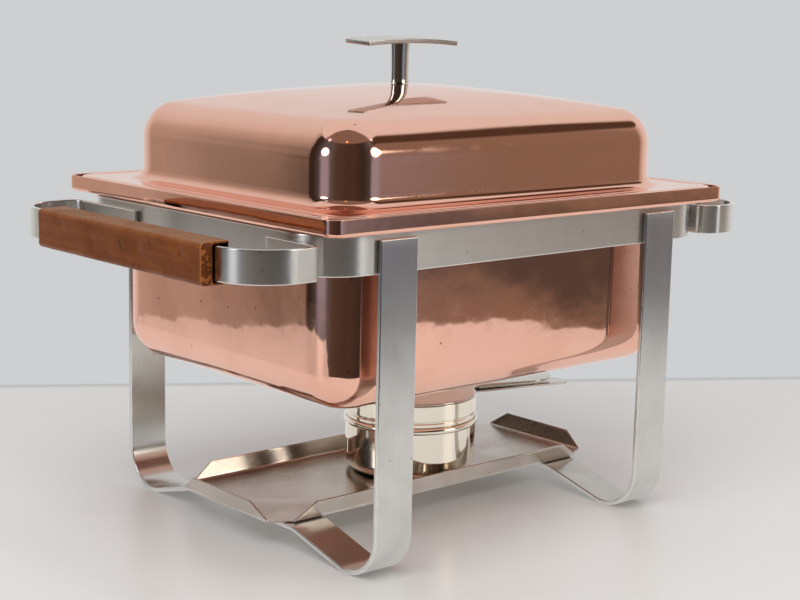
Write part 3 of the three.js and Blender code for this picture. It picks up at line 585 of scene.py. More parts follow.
class Effects:
    """Node groups that several finishes share, each built once."""

    def __init__(self) -> None:
        """Builds every group."""
        self.streaks = self._streaks()
        self.scratches = self._scratches()
        self.smudges = self._smudges()
        self.wear = self._wear()
        self.specks = self._specks()

    def _streaks(self) -> bpy.types.NodeTree:
        """Fine brushed lines along U: noise that is long on one axis and short on the other.

        Returns:
            The finished group.
        """
        board, at = new_group(
            "brushed_streaks",
            {"Vector": ("Vector", 0), "Along": ("Float", 30), "Across": ("Float", 3000)},
            ["Streak"],
        )
        factor = board.add("CombineXYZ", {"X": at["Along"], "Y": at["Across"], "Z": at["Across"]})
        line = board.add("VectorMath", {0: at["Vector"], 1: factor}, operation="MULTIPLY")
        fine = board.noise(line, 1.0, 4.0, 0.65)
        patch = board.noise(at["Vector"], 45.0, 2.0)
        mixed = board.math("MULTIPLY_ADD", patch, 0.25, board.math("MULTIPLY", fine, 0.75))
        board.add("NodeGroupOutput", {"Streak": mixed})
        return board.tree

    def _scratches(self) -> bpy.types.NodeTree:
        """Sparse hairlines: two thin bands of stretched noise, turned apart, gated by slow patches.

        Returns:
            The finished group.
        """
        board, at = new_group(
            "hairline_scratches",
            {"Vector": ("Vector", 0), "Scale": ("Float", 1), "Amount": ("Float", 0.5)},
            ["Scratch"],
        )
        scaled = board.add("VectorMath", {0: at["Vector"], "Scale": at["Scale"]}, operation="SCALE")
        lines = []
        for turn, seed in (((0.3, 0.5, 0.7), 0.0), ((1.3, 0.2, 2.2), 9.0)):
            bent = board.add("VectorRotate", {"Vector": scaled, "Rotation": turn}, rotation_type="EULER_XYZ")
            long = board.stretch(bent, (14.0, 700.0, 700.0))
            moved = board.add("VectorMath", {0: long, 1: (seed, seed, seed)}, operation="ADD")
            band = board.math("ABSOLUTE", board.math("SUBTRACT", board.noise(moved, 1.0, 1.0), 0.5))
            patch = board.noise(scaled, 30.0 + seed, 2.0)
            gate = board.ramp(patch, 0.52, 0.62)
            lines.append(board.math("MULTIPLY", board.ramp(band, 0.0, 0.012, 1.0, 0.0), gate))
        both = board.math("MAXIMUM", lines[0], lines[1])
        board.add("NodeGroupOutput", {"Scratch": board.math("MULTIPLY", both, at["Amount"])})
        return board.tree

    def _smudges(self) -> bpy.types.NodeTree:
        """Soft handling marks: warped noise between a low and a high level.

        Returns:
            The finished group.
        """
        board, at = new_group(
            "handling_smudges",
            {
                "Vector": ("Vector", 0),
                "Scale": ("Float", 12),
                "Low": ("Float", 0.45),
                "High": ("Float", 0.7),
            },
            ["Smudge"],
        )
        cloud = board.noise(at["Vector"], at["Scale"], 5.0, 0.6, 0.6)
        links = {"Value": cloud, "From Min": at["Low"], "From Max": at["High"]}
        smudge = board.add("MapRange", links, interpolation_type="SMOOTHSTEP")
        board.add("NodeGroupOutput", {"Smudge": smudge})
        return board.tree

    def _wear(self) -> bpy.types.NodeTree:
        """Rubbed edges: the surface's bend, broken up by noise.

        Returns:
            The finished group.
        """
        board, at = new_group(
            "rubbed_edges",
            {
                "Vector": ("Vector", 0),
                "Bend": ("Float", 0),
                "Scale": ("Float", 120),
                "Reach": ("Float", 0.5),
            },
            ["Wear"],
        )
        rough = board.noise(at["Vector"], at["Scale"], 4.0, 0.65)
        lifted = board.math("MULTIPLY", at["Bend"], board.math("ADD", rough, 0.35))
        share = board.math("DIVIDE", lifted, at["Reach"])
        board.add("NodeGroupOutput", {"Wear": board.ramp(share, 0.25, 1.0)})
        return board.tree

    def _specks(self) -> bpy.types.NodeTree:
        """Small round spots: nearness to scattered points, with only some of them kept.

        Returns:
            The finished group.
        """
        board, at = new_group(
            "small_specks",
            {
                "Vector": ("Vector", 0),
                "Scale": ("Float", 60),
                "Size": ("Float", 0.12),
                "Kept": ("Float", 0.2),
            },
            ["Speck"],
        )
        tree = board.tree
        spots = tree.nodes.new("ShaderNodeTexVoronoi")
        tree.links.new(at["Vector"], spots.inputs["Vector"])
        tree.links.new(at["Scale"], spots.inputs["Scale"])
        pick = board.add("SeparateColor", {0: spots.outputs["Color"]})
        kept = board.math("LESS_THAN", pick, at["Kept"])
        near = board.math("SUBTRACT", 1.0, board.math("DIVIDE", spots.outputs["Distance"], at["Size"]))
        board.add("NodeGroupOutput", {"Speck": board.math("MULTIPLY", board.ramp(near, 0.0, 0.5), kept)})
        return board.tree


class Dressing(Board):
    """The board of one material, with its shader and the shared effects at hand.

    Args:
        name: name of the material.
        effects: the shared node groups.
        fixed: constants for the shader's own sockets.
    """

    def __init__(self, name: str, effects: Effects, fixed: dict[str, object]) -> None:
        """Makes the material and its shader.

        Args:
            name: name of the material.
            effects: the shared node groups.
            fixed: constants for the shader's own sockets.
        """
        self.material = bpy.data.materials.new(name)
        self.material.use_nodes = True
        super().__init__(self.material.node_tree)
        self.effects = effects
        self.shader = self.tree.nodes.new("ShaderNodeBsdfPrincipled")
        for key, value in fixed.items():
            self.shader.inputs[key].default_value = value
        self.add("OutputMaterial", {"Surface": self.shader.outputs[0]})
        self.place = self.add("TexCoord", out="Object")
        self.sheet = self.add("UVMap", uv_map="surface")
        self.bend = self.add("Attribute", out="Fac", attribute_name="bend")

    def effect(self, group: bpy.types.NodeTree, vector: Socket, **values: object) -> Socket:
        """Places a shared effect and returns its mask.

        Args:
            group: the shared effect.
            vector: where the pattern is read.
            **values: the effect's other inputs.

        Returns:
            The effect's mask.
        """
        node = self.tree.nodes.new("ShaderNodeGroup")
        node.node_tree = group
        self.tree.links.new(vector, node.inputs["Vector"])
        for key, value in values.items():
            if isinstance(value, Socket):
                self.tree.links.new(value, node.inputs[key])
            else:
                node.inputs[key].default_value = value
        return node.outputs[0]

    def drive(self, socket: str, value: Socket) -> None:
        """Links a changing value to the shader's socket."""
        self.tree.links.new(value, self.shader.inputs[socket])

    def relief(self, height: Socket, distance: float, under: object = None) -> Socket:
        """A bump of the given height in metres over an earlier one, as a normal.

        Args:
            height: the height to show, from 0 to 1.
            distance: height of a full step, in metres.
            under: an earlier normal to build on.

        Returns:
            The normal.
        """
        links = {"Height": height, "Distance": distance, "Strength": 1.0}
        if under is not None:
            links["Normal"] = under
        return self.add("Bump", links)


# ---- finishes ----

Colour = tuple[float, float, float]


def rgba(colour: Colour) -> tuple[float, float, float, float]:
    """The colour with full alpha."""
    return (*colour, 1.0)


@dataclass(frozen=True)
class PolishedMetal:
    """Mirror-polished metal with faint waves, hairlines, smudges and tarnish.

    Args:
        name: name of the material.
        colour: reflection straight on.
        tarnish: colour of its darker patches.
        rough: least and most roughness.
        wave: height of the slow waves, in metres.
        specks: share of the speck points that show.
    """

    name: str
    colour: Colour
    tarnish: Colour
    rough: tuple[float, float] = (0.05, 0.2)
    wave: float = 0.00006
    specks: float = 0.1

    def build(self, effects: Effects) -> bpy.types.Material:
        """Makes the material.

        Args:
            effects: the shared effects.

        Returns:
            The finished material.
        """
        d = Dressing(self.name, effects, {"Metallic": 1.0})
        cloud = d.effect(effects.smudges, d.place, Scale=14.0, Low=0.4, High=0.75)
        film = d.effect(effects.smudges, d.place, Scale=60.0, Low=0.5, High=0.8)
        line = d.effect(effects.scratches, d.place, Scale=1.0, Amount=0.6)
        speck = d.effect(effects.specks, d.place, Scale=70.0, Size=0.09, Kept=self.specks)
        tint = d.blend(d.math("MULTIPLY", cloud, 0.35), rgba(self.colour), rgba(self.tarnish))
        tint = d.blend(d.math("MULTIPLY", speck, 0.7), tint, rgba(tuple(c * 0.35 for c in self.tarnish)))
        d.drive("Base Color", tint)
        low, high = self.rough
        haze = d.math("MAXIMUM", d.math("MULTIPLY", film, 0.5), line)
        d.drive("Roughness", d.math("MULTIPLY_ADD", haze, high - low, low))
        slow = d.relief(d.noise(d.place, 9.0, 1.0), self.wave * 14)
        dent = d.relief(d.noise(d.place, 38.0, 2.0), self.wave, slow)
        d.drive("Normal", d.relief(line, -0.000004, dent))
        return d.material


@dataclass(frozen=True)
class BrushedSteel:
    """Sheet or strip steel with lines along the piece, stains and rubbed edges.

    Args:
        name: name of the material.
        colour: colour of the clean metal.
        stain: colour of its stains.
        rough: least and most roughness.
        lines: height of the brushed lines, in metres.
        bright: colour of the rubbed edges.
    """

    name: str
    colour: Colour
    stain: Colour
    rough: tuple[float, float] = (0.26, 0.36)
    lines: float = 0.0000025
    bright: Colour = (0.86, 0.85, 0.83)

    def build(self, effects: Effects) -> bpy.types.Material:
        """Makes the material.

        Args:
            effects: the shared effects.

        Returns:
            The finished material.
        """
        fixed = {"Metallic": 1.0, "Anisotropic": 0.88, "Anisotropic Rotation": 0.25}
        d = Dressing(self.name, effects, fixed)
        d.drive("Tangent", d.add("Tangent", direction_type="UV_MAP", uv_map="surface"))
        streak = d.effect(effects.streaks, d.sheet, Along=26.0, Across=2400.0)
        cloud = d.effect(effects.smudges, d.place, Scale=20.0, Low=0.42, High=0.72)
        line = d.effect(effects.scratches, d.place, Scale=1.6, Amount=0.8)
        speck = d.effect(effects.specks, d.place, Scale=110.0, Size=0.16, Kept=0.16)
        worn = d.effect(effects.wear, d.place, Bend=d.bend, Scale=160.0, Reach=1.2)
        tint = d.blend(d.math("MULTIPLY", cloud, 0.4), rgba(self.colour), rgba(self.stain))
        shade = d.ramp(streak, 0.25, 0.75, 0.93, 1.05)
        tint = d.blend(1.0, tint, d.add("CombineXYZ", {0: shade, 1: shade, 2: shade}), "MULTIPLY")
        tint = d.blend(d.math("MULTIPLY", speck, 0.3), tint, rgba(tuple(c * 0.4 for c in self.stain)))
        tint = d.blend(d.math("MULTIPLY", worn, 0.6), tint, rgba(self.bright))
        d.drive("Base Color", tint)
        low, high = self.rough
        mix = d.math("MULTIPLY_ADD", cloud, 0.4, d.math("MULTIPLY", streak, 0.6))
        level = d.math("MULTIPLY_ADD", mix, high - low, low)
        d.drive("Roughness", d.math("MULTIPLY_ADD", worn, -0.08, level))
        wavy = d.relief(d.noise(d.place, 16.0, 2.0), 0.00012)
        brushed = d.relief(streak, self.lines, wavy)
        d.drive("Normal", d.relief(line, -0.00001, brushed))
        return d.material


@dataclass(frozen=True)
class OiledWood:
    """Dark oiled hardwood with grain along Y, lighter patchy upward faces, rubbed edges and dark knocks.

    Args:
        name: name of the material.
        dark: colour of the late wood.
        light: colour of the early wood.
        upward_tint: colour laid in patches on the faces that look up.
        bare: colour of rubbed edges.
    """

    name: str
    dark: Colour
    light: Colour
    upward_tint: Colour
    bare: Colour

    def build(self, effects: Effects) -> bpy.types.Material:
        """Makes the material.

        Args:
            effects: the shared effects.

        Returns:
            The finished material.
        """
        d = Dressing(self.name, effects, {"IOR": 1.45, "Specular IOR Level": 0.22})
        flow = d.stretch(d.place, (1.0, 0.07, 1.0))
        drift = d.stretch(d.add("TexNoise", {"Vector": flow, "Scale": 60.0}, "Color"), (0.006, 0.006, 0.006))
        bent = d.add("VectorMath", {0: flow, 1: drift}, operation="ADD")
        ring = d.noise(bent, 190.0, 5.0, 0.62)
        pore = d.noise(d.stretch(d.place, (1.0, 0.05, 1.0)), 1500.0, 2.0)
        end = d.math("ABSOLUTE", d.add("SeparateXYZ", {0: d.add("NewGeometry", out="Normal")}, 1))
        up = d.add("SeparateXYZ", {0: d.add("NewGeometry", out="Normal")}, 2)
        tint = d.blend(d.ramp(ring, 0.3, 0.75, 0.15, 0.85), rgba(self.dark), rgba(self.light))
        cloud = d.effect(effects.smudges, d.place, Scale=26.0, Low=0.4, High=0.7)
        tint = d.blend(d.math("MULTIPLY", cloud, 0.35), tint, rgba(tuple(c * 0.55 for c in self.dark)))
        pits = d.ramp(pore, 0.6, 0.72)
        tint = d.blend(d.math("MULTIPLY", pits, 0.3), tint, rgba(tuple(c * 0.3 for c in self.dark)))
        # Upward faces, found by the normal's height, turn lighter in patches and rougher.
        patchy = d.ramp(d.noise(d.place, 55.0, 4.0), 0.25, 0.6, 0.45, 1.0)
        top = d.math("MULTIPLY", d.ramp(up, 0.55, 0.95), patchy)
        tint = d.blend(d.math("MULTIPLY", top, 0.75), tint, rgba(self.upward_tint))
        worn = d.effect(effects.wear, d.place, Bend=d.bend, Scale=220.0, Reach=0.55)
        tint = d.blend(d.math("MULTIPLY", worn, 0.55), tint, rgba(self.bare))
        saw = d.ramp(end, 0.7, 0.95)
        tint = d.blend(d.math("MULTIPLY", saw, 0.85), tint, rgba(tuple(c * 0.6 for c in self.dark)))
        chips = d.math("MULTIPLY", saw, d.ramp(d.noise(d.place, 260.0, 4.0, 0.7), 0.5, 0.58))
        tint = d.blend(chips, tint, rgba(tuple(c * 1.5 for c in self.light)))
        gouge = self._gouge(d)
        knock = d.effect(effects.specks, d.place, Scale=75.0, Size=0.16, Kept=0.12)
        knock = d.math("MAXIMUM", d.math("MULTIPLY", knock, 0.5), gouge)
        tint = d.blend(d.math("MULTIPLY", knock, 0.9), tint, rgba(tuple(c * 0.25 for c in self.dark)))
        d.drive("Base Color", tint)
        dull = d.math("ADD", cloud, d.math("MULTIPLY", top, 0.8))
        d.drive("Roughness", d.ramp(dull, 0.0, 1.4, 0.36, 0.72))
        grain = d.relief(ring, 0.00012)
        rugged = d.math("MULTIPLY_ADD", chips, 0.8, d.math("MAXIMUM", d.math("MULTIPLY", pits, 0.5), knock))
        d.drive("Normal", d.relief(rugged, -0.00025, grain))
        return d.material

    def _gouge(self, d: Dressing) -> Socket:
        """A slanted gouge on the left grip's outer face.

        Args:
            d: the material's board.

        Returns:
            1 in the gouge and 0 away from it.
        """
        low, high = (np.array(c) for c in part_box("grip_left"))
        spot = (low[0], low[1] + 0.46 * (high[1] - low[1]), low[2] + 0.55 * (high[2] - low[2]))
        away = d.add("VectorMath", {0: d.place, 1: spot}, operation="SUBTRACT")
        turned = d.add("VectorRotate", {"Vector": away, "Axis": (1, 0, 0), "Angle": radians(-58)})
        spread = d.stretch(turned, (250.0, 230.0, 1200.0))
        size = d.add("VectorMath", {0: spread}, "Value", operation="LENGTH")
        return d.ramp(size, 0.6, 1.1, 1.0, 0.0)


class Finishes:
    """Every material of the warmer, made once."""

    def __init__(self) -> None:
        """Builds every material."""
        effects = Effects()
        self.copper = PolishedMetal(
            "polished_copper", (0.93, 0.55, 0.43), (0.82, 0.42, 0.29), (0.04, 0.16), 0.00004
        ).build(effects)
        self.pan_copper = PolishedMetal(
            "polished_copper_pan", (0.93, 0.54, 0.42), (0.82, 0.42, 0.29), (0.04, 0.18), 0.00009
        ).build(effects)
        self.nickel = PolishedMetal(
            "polished_steel", (0.88, 0.81, 0.70), (0.68, 0.57, 0.44), (0.05, 0.22), 0.00003, 0.05
        ).build(effects)
        self.worn_nickel = PolishedMetal(
            "worn_nickel", (0.60, 0.565, 0.51), (0.48, 0.42, 0.36), (0.12, 0.26), 0.00006
        ).build(effects)
        self.strip = BrushedSteel("brushed_strip", (0.70, 0.69, 0.665), (0.56, 0.525, 0.485)).build(effects)
        self.tray = BrushedSteel(
            "tray_sheet", (0.53, 0.47, 0.42), (0.38, 0.31, 0.26), (0.16, 0.34), 0.000003
        ).build(effects)
        self.pan = BrushedSteel(
            "pan_steel", (0.66, 0.655, 0.64), (0.52, 0.51, 0.49), (0.2, 0.36), 0.000004
        ).build(effects)
        self.screw = BrushedSteel(
            "screw_steel", (0.5, 0.5, 0.49), (0.3, 0.28, 0.26), (0.25, 0.45), 0.000002
        ).build(effects)
        self.wood = OiledWood(
            "oiled_hardwood",
            dark=(0.16, 0.039, 0.007),
            light=(0.27, 0.076, 0.014),
            upward_tint=(0.24, 0.13, 0.07),
            bare=(0.44, 0.17, 0.05),
        ).build(effects)


def finish_piece(
    made: bpy.types.Object, material: bpy.types.Material, body: Body, nodes: Sequence[str]
) -> None:
    """Dresses a piece, lets it ride on its body and hides the nodes that it stands for.

    Args:
        made: the piece.
        material: its finish.
        body: the body that it moves with.
        nodes: CAD nodes that it replaces.
    """
    made.data.materials.append(material)
    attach(made, body.value)
    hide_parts(*nodes)
    LOG.info("%s: %d faces", made.name, len(made.data.polygons))


# ---- pans and lid ----


@dataclass
class CopperPan:
    """Water pan: a deep tub whose wall turns out to a ledge and up to a lip.

    Args:
        lip_in: from the lip's outer face to the tub's.
        wall: thickness of the sheet.
        lip: height of the lip over the ledge's underside.
        base: radius of the tub's lower edge.
        corners: corner radius of the lip and of the tub.
    """

    lip_in: float = 25.0
    wall: float = 1.2
    lip: float = 11.3
    base: float = 25.0
    corners: tuple[float, float] = (8.0, 30.0)

    def build(self, finishes: Finishes) -> None:
        """Builds and dresses the pan.

        Args:
            finishes: every material of the warmer.
        """
        box = Box.of("water_pan")
        half_x, half_y = box.half[:2]
        low, top = box.low[2], box.high[2]
        seat = top - self.lip
        inner = self.lip_in + self.wall
        profile = filleted(
            [
                (70, low, 0),
                (self.lip_in, low, self.base),
                (self.lip_in, seat, 2.2),
                (0, seat, 3.0),
                (0, top, 0.55),
                (self.wall, top, 0.55),
                (self.wall, seat + self.wall, 2.4),
                (inner, seat + self.wall, 3.0),
                (inner, low + self.wall, self.base - self.wall),
                (70, low + self.wall, 0),
            ],
            9,
        )
        profile = refined(profile, 5.0)
        inset, z = profile.T
        lip_corner, tub_corner = self.corners
        share = np.clip(inset / self.lip_in, 0, 1)
        corner = lip_corner + (tub_corner - lip_corner) * share - np.maximum(inset - self.lip_in, 0)
        grid = rounded_rings(half_x - inset, half_y - inset, np.maximum(corner, 3.0), z)
        made = mesh_object("water_pan_fine", [Skin(grid)])
        finish_piece(made, finishes.pan_copper, Body.WATER_PAN, ["water_pan"])


@dataclass
class InsertPan:
    """Food pan: a half-size insert with drawn-in walls and a turned-down rim.

    Args:
        rim: width of the rim.
        wall: thickness of the sheet.
        taper: how far the walls draw in from rim to base.
        base: radius of the lower edge.
        corner: corner radius of the body.
    """

    rim: float = 12.5
    wall: float = 0.9
    taper: float = 4.0
    base: float = 18.0
    corner: float = 40.0

    def build(self, finishes: Finishes) -> None:
        """Builds and dresses the insert.

        Args:
            finishes: every material of the warmer.
        """
        box = Box.of("food_pan")
        half_x, half_y = box.half[:2]
        low, top = box.low[2], box.high[2]
        hook = top - 8.0
        foot = self.rim + self.taper
        profile = filleted(
            [
                (75, low, 0),
                (foot, low, self.base),
                (foot - 0.2, low + self.base * 1.2, 6.0),
                (self.rim, top - self.wall, 3.0),
                (self.wall, top - self.wall, 1.2),
                (self.wall, hook, 0.3),
                (0, hook, 0.3),
                (0, top, 2.0),
                (self.rim + self.wall, top, 3.9),
                (foot + self.wall - 0.2, low + self.base * 1.2, 6.0),
                (foot + self.wall, low + self.wall, self.base - self.wall),
                (75, low + self.wall, 0),
            ],
            7,
        )
        inset, z = refined(profile, 5.0).T
        corner = self.corner + self.rim / 2 - inset * 0.7
        grid = rounded_rings(half_x - inset, half_y - inset, np.maximum(corner, 3.0), z, 16)
        made = mesh_object("food_pan_fine", [Skin(grid)])
        finish_piece(made, finishes.pan, Body.FOOD_PAN, ["food_pan"])


@dataclass
class CrownedLid:
    """Lid: a flat flange, an upright wall, a rolled shoulder and a crowned top.

    Args:
        flange: from the flange's edge to the wall.
        wall: thickness of the sheet.
        foot: radius between flange and wall.
        shoulder: where the upright wall ends, over the flange.
        roll: radius of the shoulder.
        turn: degrees that the shoulder turns.
        corners: corner radius of the flange and of the wall.
        bead: height of the raised line near the flange's edge.
    """

    flange: float = 28.5
    wall: float = 1.2
    foot: float = 8.0
    shoulder: float = 29.0
    roll: float = 26.0
    turn: float = 72.0
    corners: tuple[float, float] = (20.0, 30.0)
    bead: float = 0.5

    def skin(self, offset: float, half: Array, flange_z: float, crown_z: float) -> Array:
        """Rings from the flange's edge over the crown, for the skin at a depth below the surface.

        Formula: on the wall and shoulder the inset comes from the profile. On the crown the ring
        shrinks by a share s of its half sizes, its corners grow rounder by 60 (1 - s), and its
        height is the crown less (crown - edge) s squared.

        Args:
            offset: depth below the outer surface.
            half: half sizes of the flange.
            flange_z: top of the flange.
            crown_z: top of the crown.

        Returns:
            (rows, columns, 3) array.
        """
        turn = radians(self.turn)
        radius = self.roll - offset
        roll_z = flange_z + self.shoulder
        angle = np.linspace(0, turn, 18)
        profile = [(self.flange + offset, flange_z - offset, self.foot + offset)]
        rise = filleted(
            [(6.5, flange_z - offset, 0), *profile, (self.flange + offset, roll_z - 3, 0)], 10
        )
        rise = refined(rise, 4.0)
        arc_inset = self.flange + self.roll - radius * np.cos(angle)
        arc_z = roll_z + radius * np.sin(angle)
        inset = np.append(rise[:, 0], arc_inset)
        z = np.append(rise[:, 1], arc_z)
        outer, inner = self.corners
        share = np.clip(inset / self.flange, 0, 1)
        corner = outer + (inner - outer) * share - np.maximum(inset - self.flange, 0)
        lower = rounded_rings(half[0] - inset, half[1] - inset, np.maximum(corner, 4), z)
        edge_inset, edge_z = inset[-1], z[-1]
        s = np.array([0.985, 0.965, 0.94, *np.linspace(0.9, 0.06, 22)])
        top = crown_z - offset
        upper = rounded_rings(
            (half[0] - edge_inset) * s,
            (half[1] - edge_inset) * s,
            np.maximum(inner - self.roll + radius * cos(turn), 4) + 60 * (1 - s),
            top - (top - edge_z) * s**2,
        )
        return np.concatenate([lower, upper])

    def build(self, finishes: Finishes) -> None:
        """Builds and dresses the lid's shell.

        Args:
            finishes: every material of the warmer.
        """
        box = Box.of("lid_shell")
        half = box.half[:2]
        low, crown = box.low[2], box.high[2]
        flange_z = low + self.wall
        outside = self.skin(0.0, half, flange_z, crown)
        inside = self.skin(self.wall, half, flange_z, crown)
        edge = filleted(
            [
                (6.5, low, 0),
                (0, low, 0.5),
                (0, flange_z, 0.5),
                (1.4, flange_z, 0.4),
                (2.4, flange_z + self.bead, 0.5),
                (4.0, flange_z + self.bead, 0.5),
                (5.2, flange_z, 0.5),
                (6.4, flange_z, 0),
            ],
            5,
        )
        inset, z = edge.T
        corner = self.corners[0] + (self.corners[1] - self.corners[0]) * inset / self.flange
        rim = rounded_rings(half[0] - inset, half[1] - inset, corner, z)
        grid = np.concatenate([inside[::-1], rim, outside])
        made = mesh_object("lid_shell_fine", [Skin(grid)])
        finish_piece(made, finishes.copper, Body.LID, ["lid_shell"])


@dataclass
class Knob:
    """Strip knob: an arched bar on an oval post.

    Args:
        tilt: degrees that the bar leans to the front.
        sag: how far the bar's ends are lower than its middle.
        thick: thickness of the bar.
        edge: radius of the bar's edges.
        flare: how far the post widens under the bar.
    """

    tilt: float = 3.0
    sag: float = 1.9
    thick: float = 3.4
    edge: float = 0.8
    flare: float = 1.2

    def build(self, finishes: Finishes) -> None:
        """Builds and dresses bar and post."""
        self._bar(finishes)
        self._post(finishes)

    def _bar(self, finishes: Finishes) -> None:
        """The arched bar.

        Formula: its middle line is the arc z = sqrt(R^2 - x^2) - R, R = (h^2 + sag^2) / 2 sag.

        Args:
            finishes: every material of the warmer.
        """
        box = Box.of("knob_plate")
        half = box.half[0]
        wide = 25.0
        radius = (half**2 + self.sag**2) / (2 * self.sag)
        x = np.linspace(-half, half, 61)
        path = np.column_stack([x, np.sqrt(radius**2 - x**2) - radius])
        grid = carried(path, bar_section(self.thick, wide, self.edge), 1.1)
        lean = radians(self.tilt)
        axes = [(1, 0, 0), (0, -sin(lean), cos(lean)), (0, cos(lean), sin(lean))]
        middle = box.high[2] - self.thick / 2 * cos(lean) - wide / 2 * sin(lean)
        grid = placed(grid, axes, (box.middle[0], 0, middle))
        made = mesh_object("knob_bar_fine", [Skin(grid)])
        finish_piece(made, finishes.strip, Body.LID, ["knob_plate"])

    def _post(self, finishes: Finishes) -> None:
        """The post.

        Formula: an oval whose half sizes grow by flare * t^3 towards the bar.

        Args:
            finishes: every material of the warmer.
        """
        box = Box.of("knob_post")
        low, top = box.low[2], box.high[2]
        t = np.array([0, 0.004, 0.015, 0.03, *np.linspace(0.06, 0.97, 24), 0.99, 1.0])
        grow = self.flare / 2 * t**3 + 0.5 * np.exp(-((t / 0.05) ** 2)) - 0.4 * (t == 0)
        angle = np.linspace(0, 2 * pi, 72, endpoint=False)
        long, wide = box.half[0] - self.flare / 2, box.half[1] - self.flare / 2
        x = (long + grow)[:, None] * np.cos(angle)
        y = (wide + grow)[:, None] * np.sin(angle)
        lean = np.tan(radians(self.tilt))
        slope = top - box.half[1] * lean
        z = low + (slope + y * lean - low) * t[:, None]
        made = mesh_object("knob_post_fine", [Skin(np.stack([x, y, z], -1))])
        finish_piece(made, finishes.worn_nickel, Body.LID, ["knob_post"])


# ---- stand ----


@dataclass
class Stand:
    """Band, two leg strips and the burner tray.

    Args:
        band: thickness and corner radius of the band.
        leg: thickness and width of a leg strip.
        foot: outer radius of the foot's bend.
        rise: degrees that the strip rises inward of the foot.
        rest_z: top of the strip's raised middle.
        rest_bend: radius where the strip levels out.
    """

    band: tuple[float, float] = (3.5, 35.0)
    leg: tuple[float, float] = (3.2, 30.0)
    foot: float = 30.0
    rise: float = 15.0
    rest_z: float = 17.0
    rest_bend: float = 22.0

    def build(self, finishes: Finishes) -> None:
        """Builds and dresses the stand.

        Args:
            finishes: every material of the warmer.
        """
        self._band(finishes)
        for side in Side:
            self._leg(side, finishes)
        Tray().build(finishes)

    def _band(self, finishes: Finishes) -> None:
        """The band: a closed strip round the pan, with rounded edges.

        Args:
            finishes: every material of the warmer.
        """
        box = Box.of("top_band")
        thick, corner = self.band
        low, top = box.low[2], box.high[2]
        loop = [(0, low, 0.8), (0, top, 0.8), (thick, top, 0.8), (thick, low, 0.8)]
        inset, z = refined(filleted(loop, 5, True), 5, True).T
        grid = rounded_rings(box.half[0] - inset, box.half[1] - inset, corner - inset, z)
        grid = grid.transpose(1, 0, 2)
        uneven = ripple(grid, 90, 0.12, 4)
        outward = grid[..., :2] / np.linalg.norm(grid[..., :2], axis=2, keepdims=True)
        grid[..., :2] += outward * uneven[..., None] * 0.5
        made = mesh_object("top_band_fine", [Skin(grid, wrap_rows=True)])
        finish_piece(made, finishes.strip, Body.STAND, ["top_band"])

    def _leg(self, side: Side, finishes: Finishes) -> None:
        """One strip that is front leg, foot, tray rest, foot and rear leg.

        Args:
            side: which end of the long axis.
            finishes: every material of the warmer.
        """
        name = f"leg_strip_{side.name.lower()}"
        box = Box.of(name)
        thick, wide = self.leg
        face = box.half[1] - thick / 2
        rise = radians(self.rise)
        bend = self.foot - thick / 2
        rest = self.rest_z - thick / 2
        inner_y = -face + bend * (1 + sin(rise))
        inner_z = self.foot - bend * cos(rise)
        rest_y = inner_y + (rest - inner_z) / np.tan(rise)
        bend_z = inner_z - (inner_y + face) * np.tan(rise)
        half = [(-face, box.high[2], 0), (-face, bend_z, bend), (rest_y, rest, self.rest_bend)]
        corners = [*half, *[(-y, z, r) for y, z, r in half[::-1]]]
        path = refined(filleted(corners, 20), 6)
        grid = carried(path, bar_section(thick, wide, 0.9), 1.2)
        grid = placed(grid, [(0, 1, 0), (0, 0, 1), (1, 0, 0)], (box.middle[0], 0, 0))
        grid[..., 0] += ripple(grid, 160, 0.15, 7 + side.value)
        made = mesh_object(f"{name}_fine", [Skin(grid)])
        finish_piece(made, finishes.strip, Body.STAND, [name])


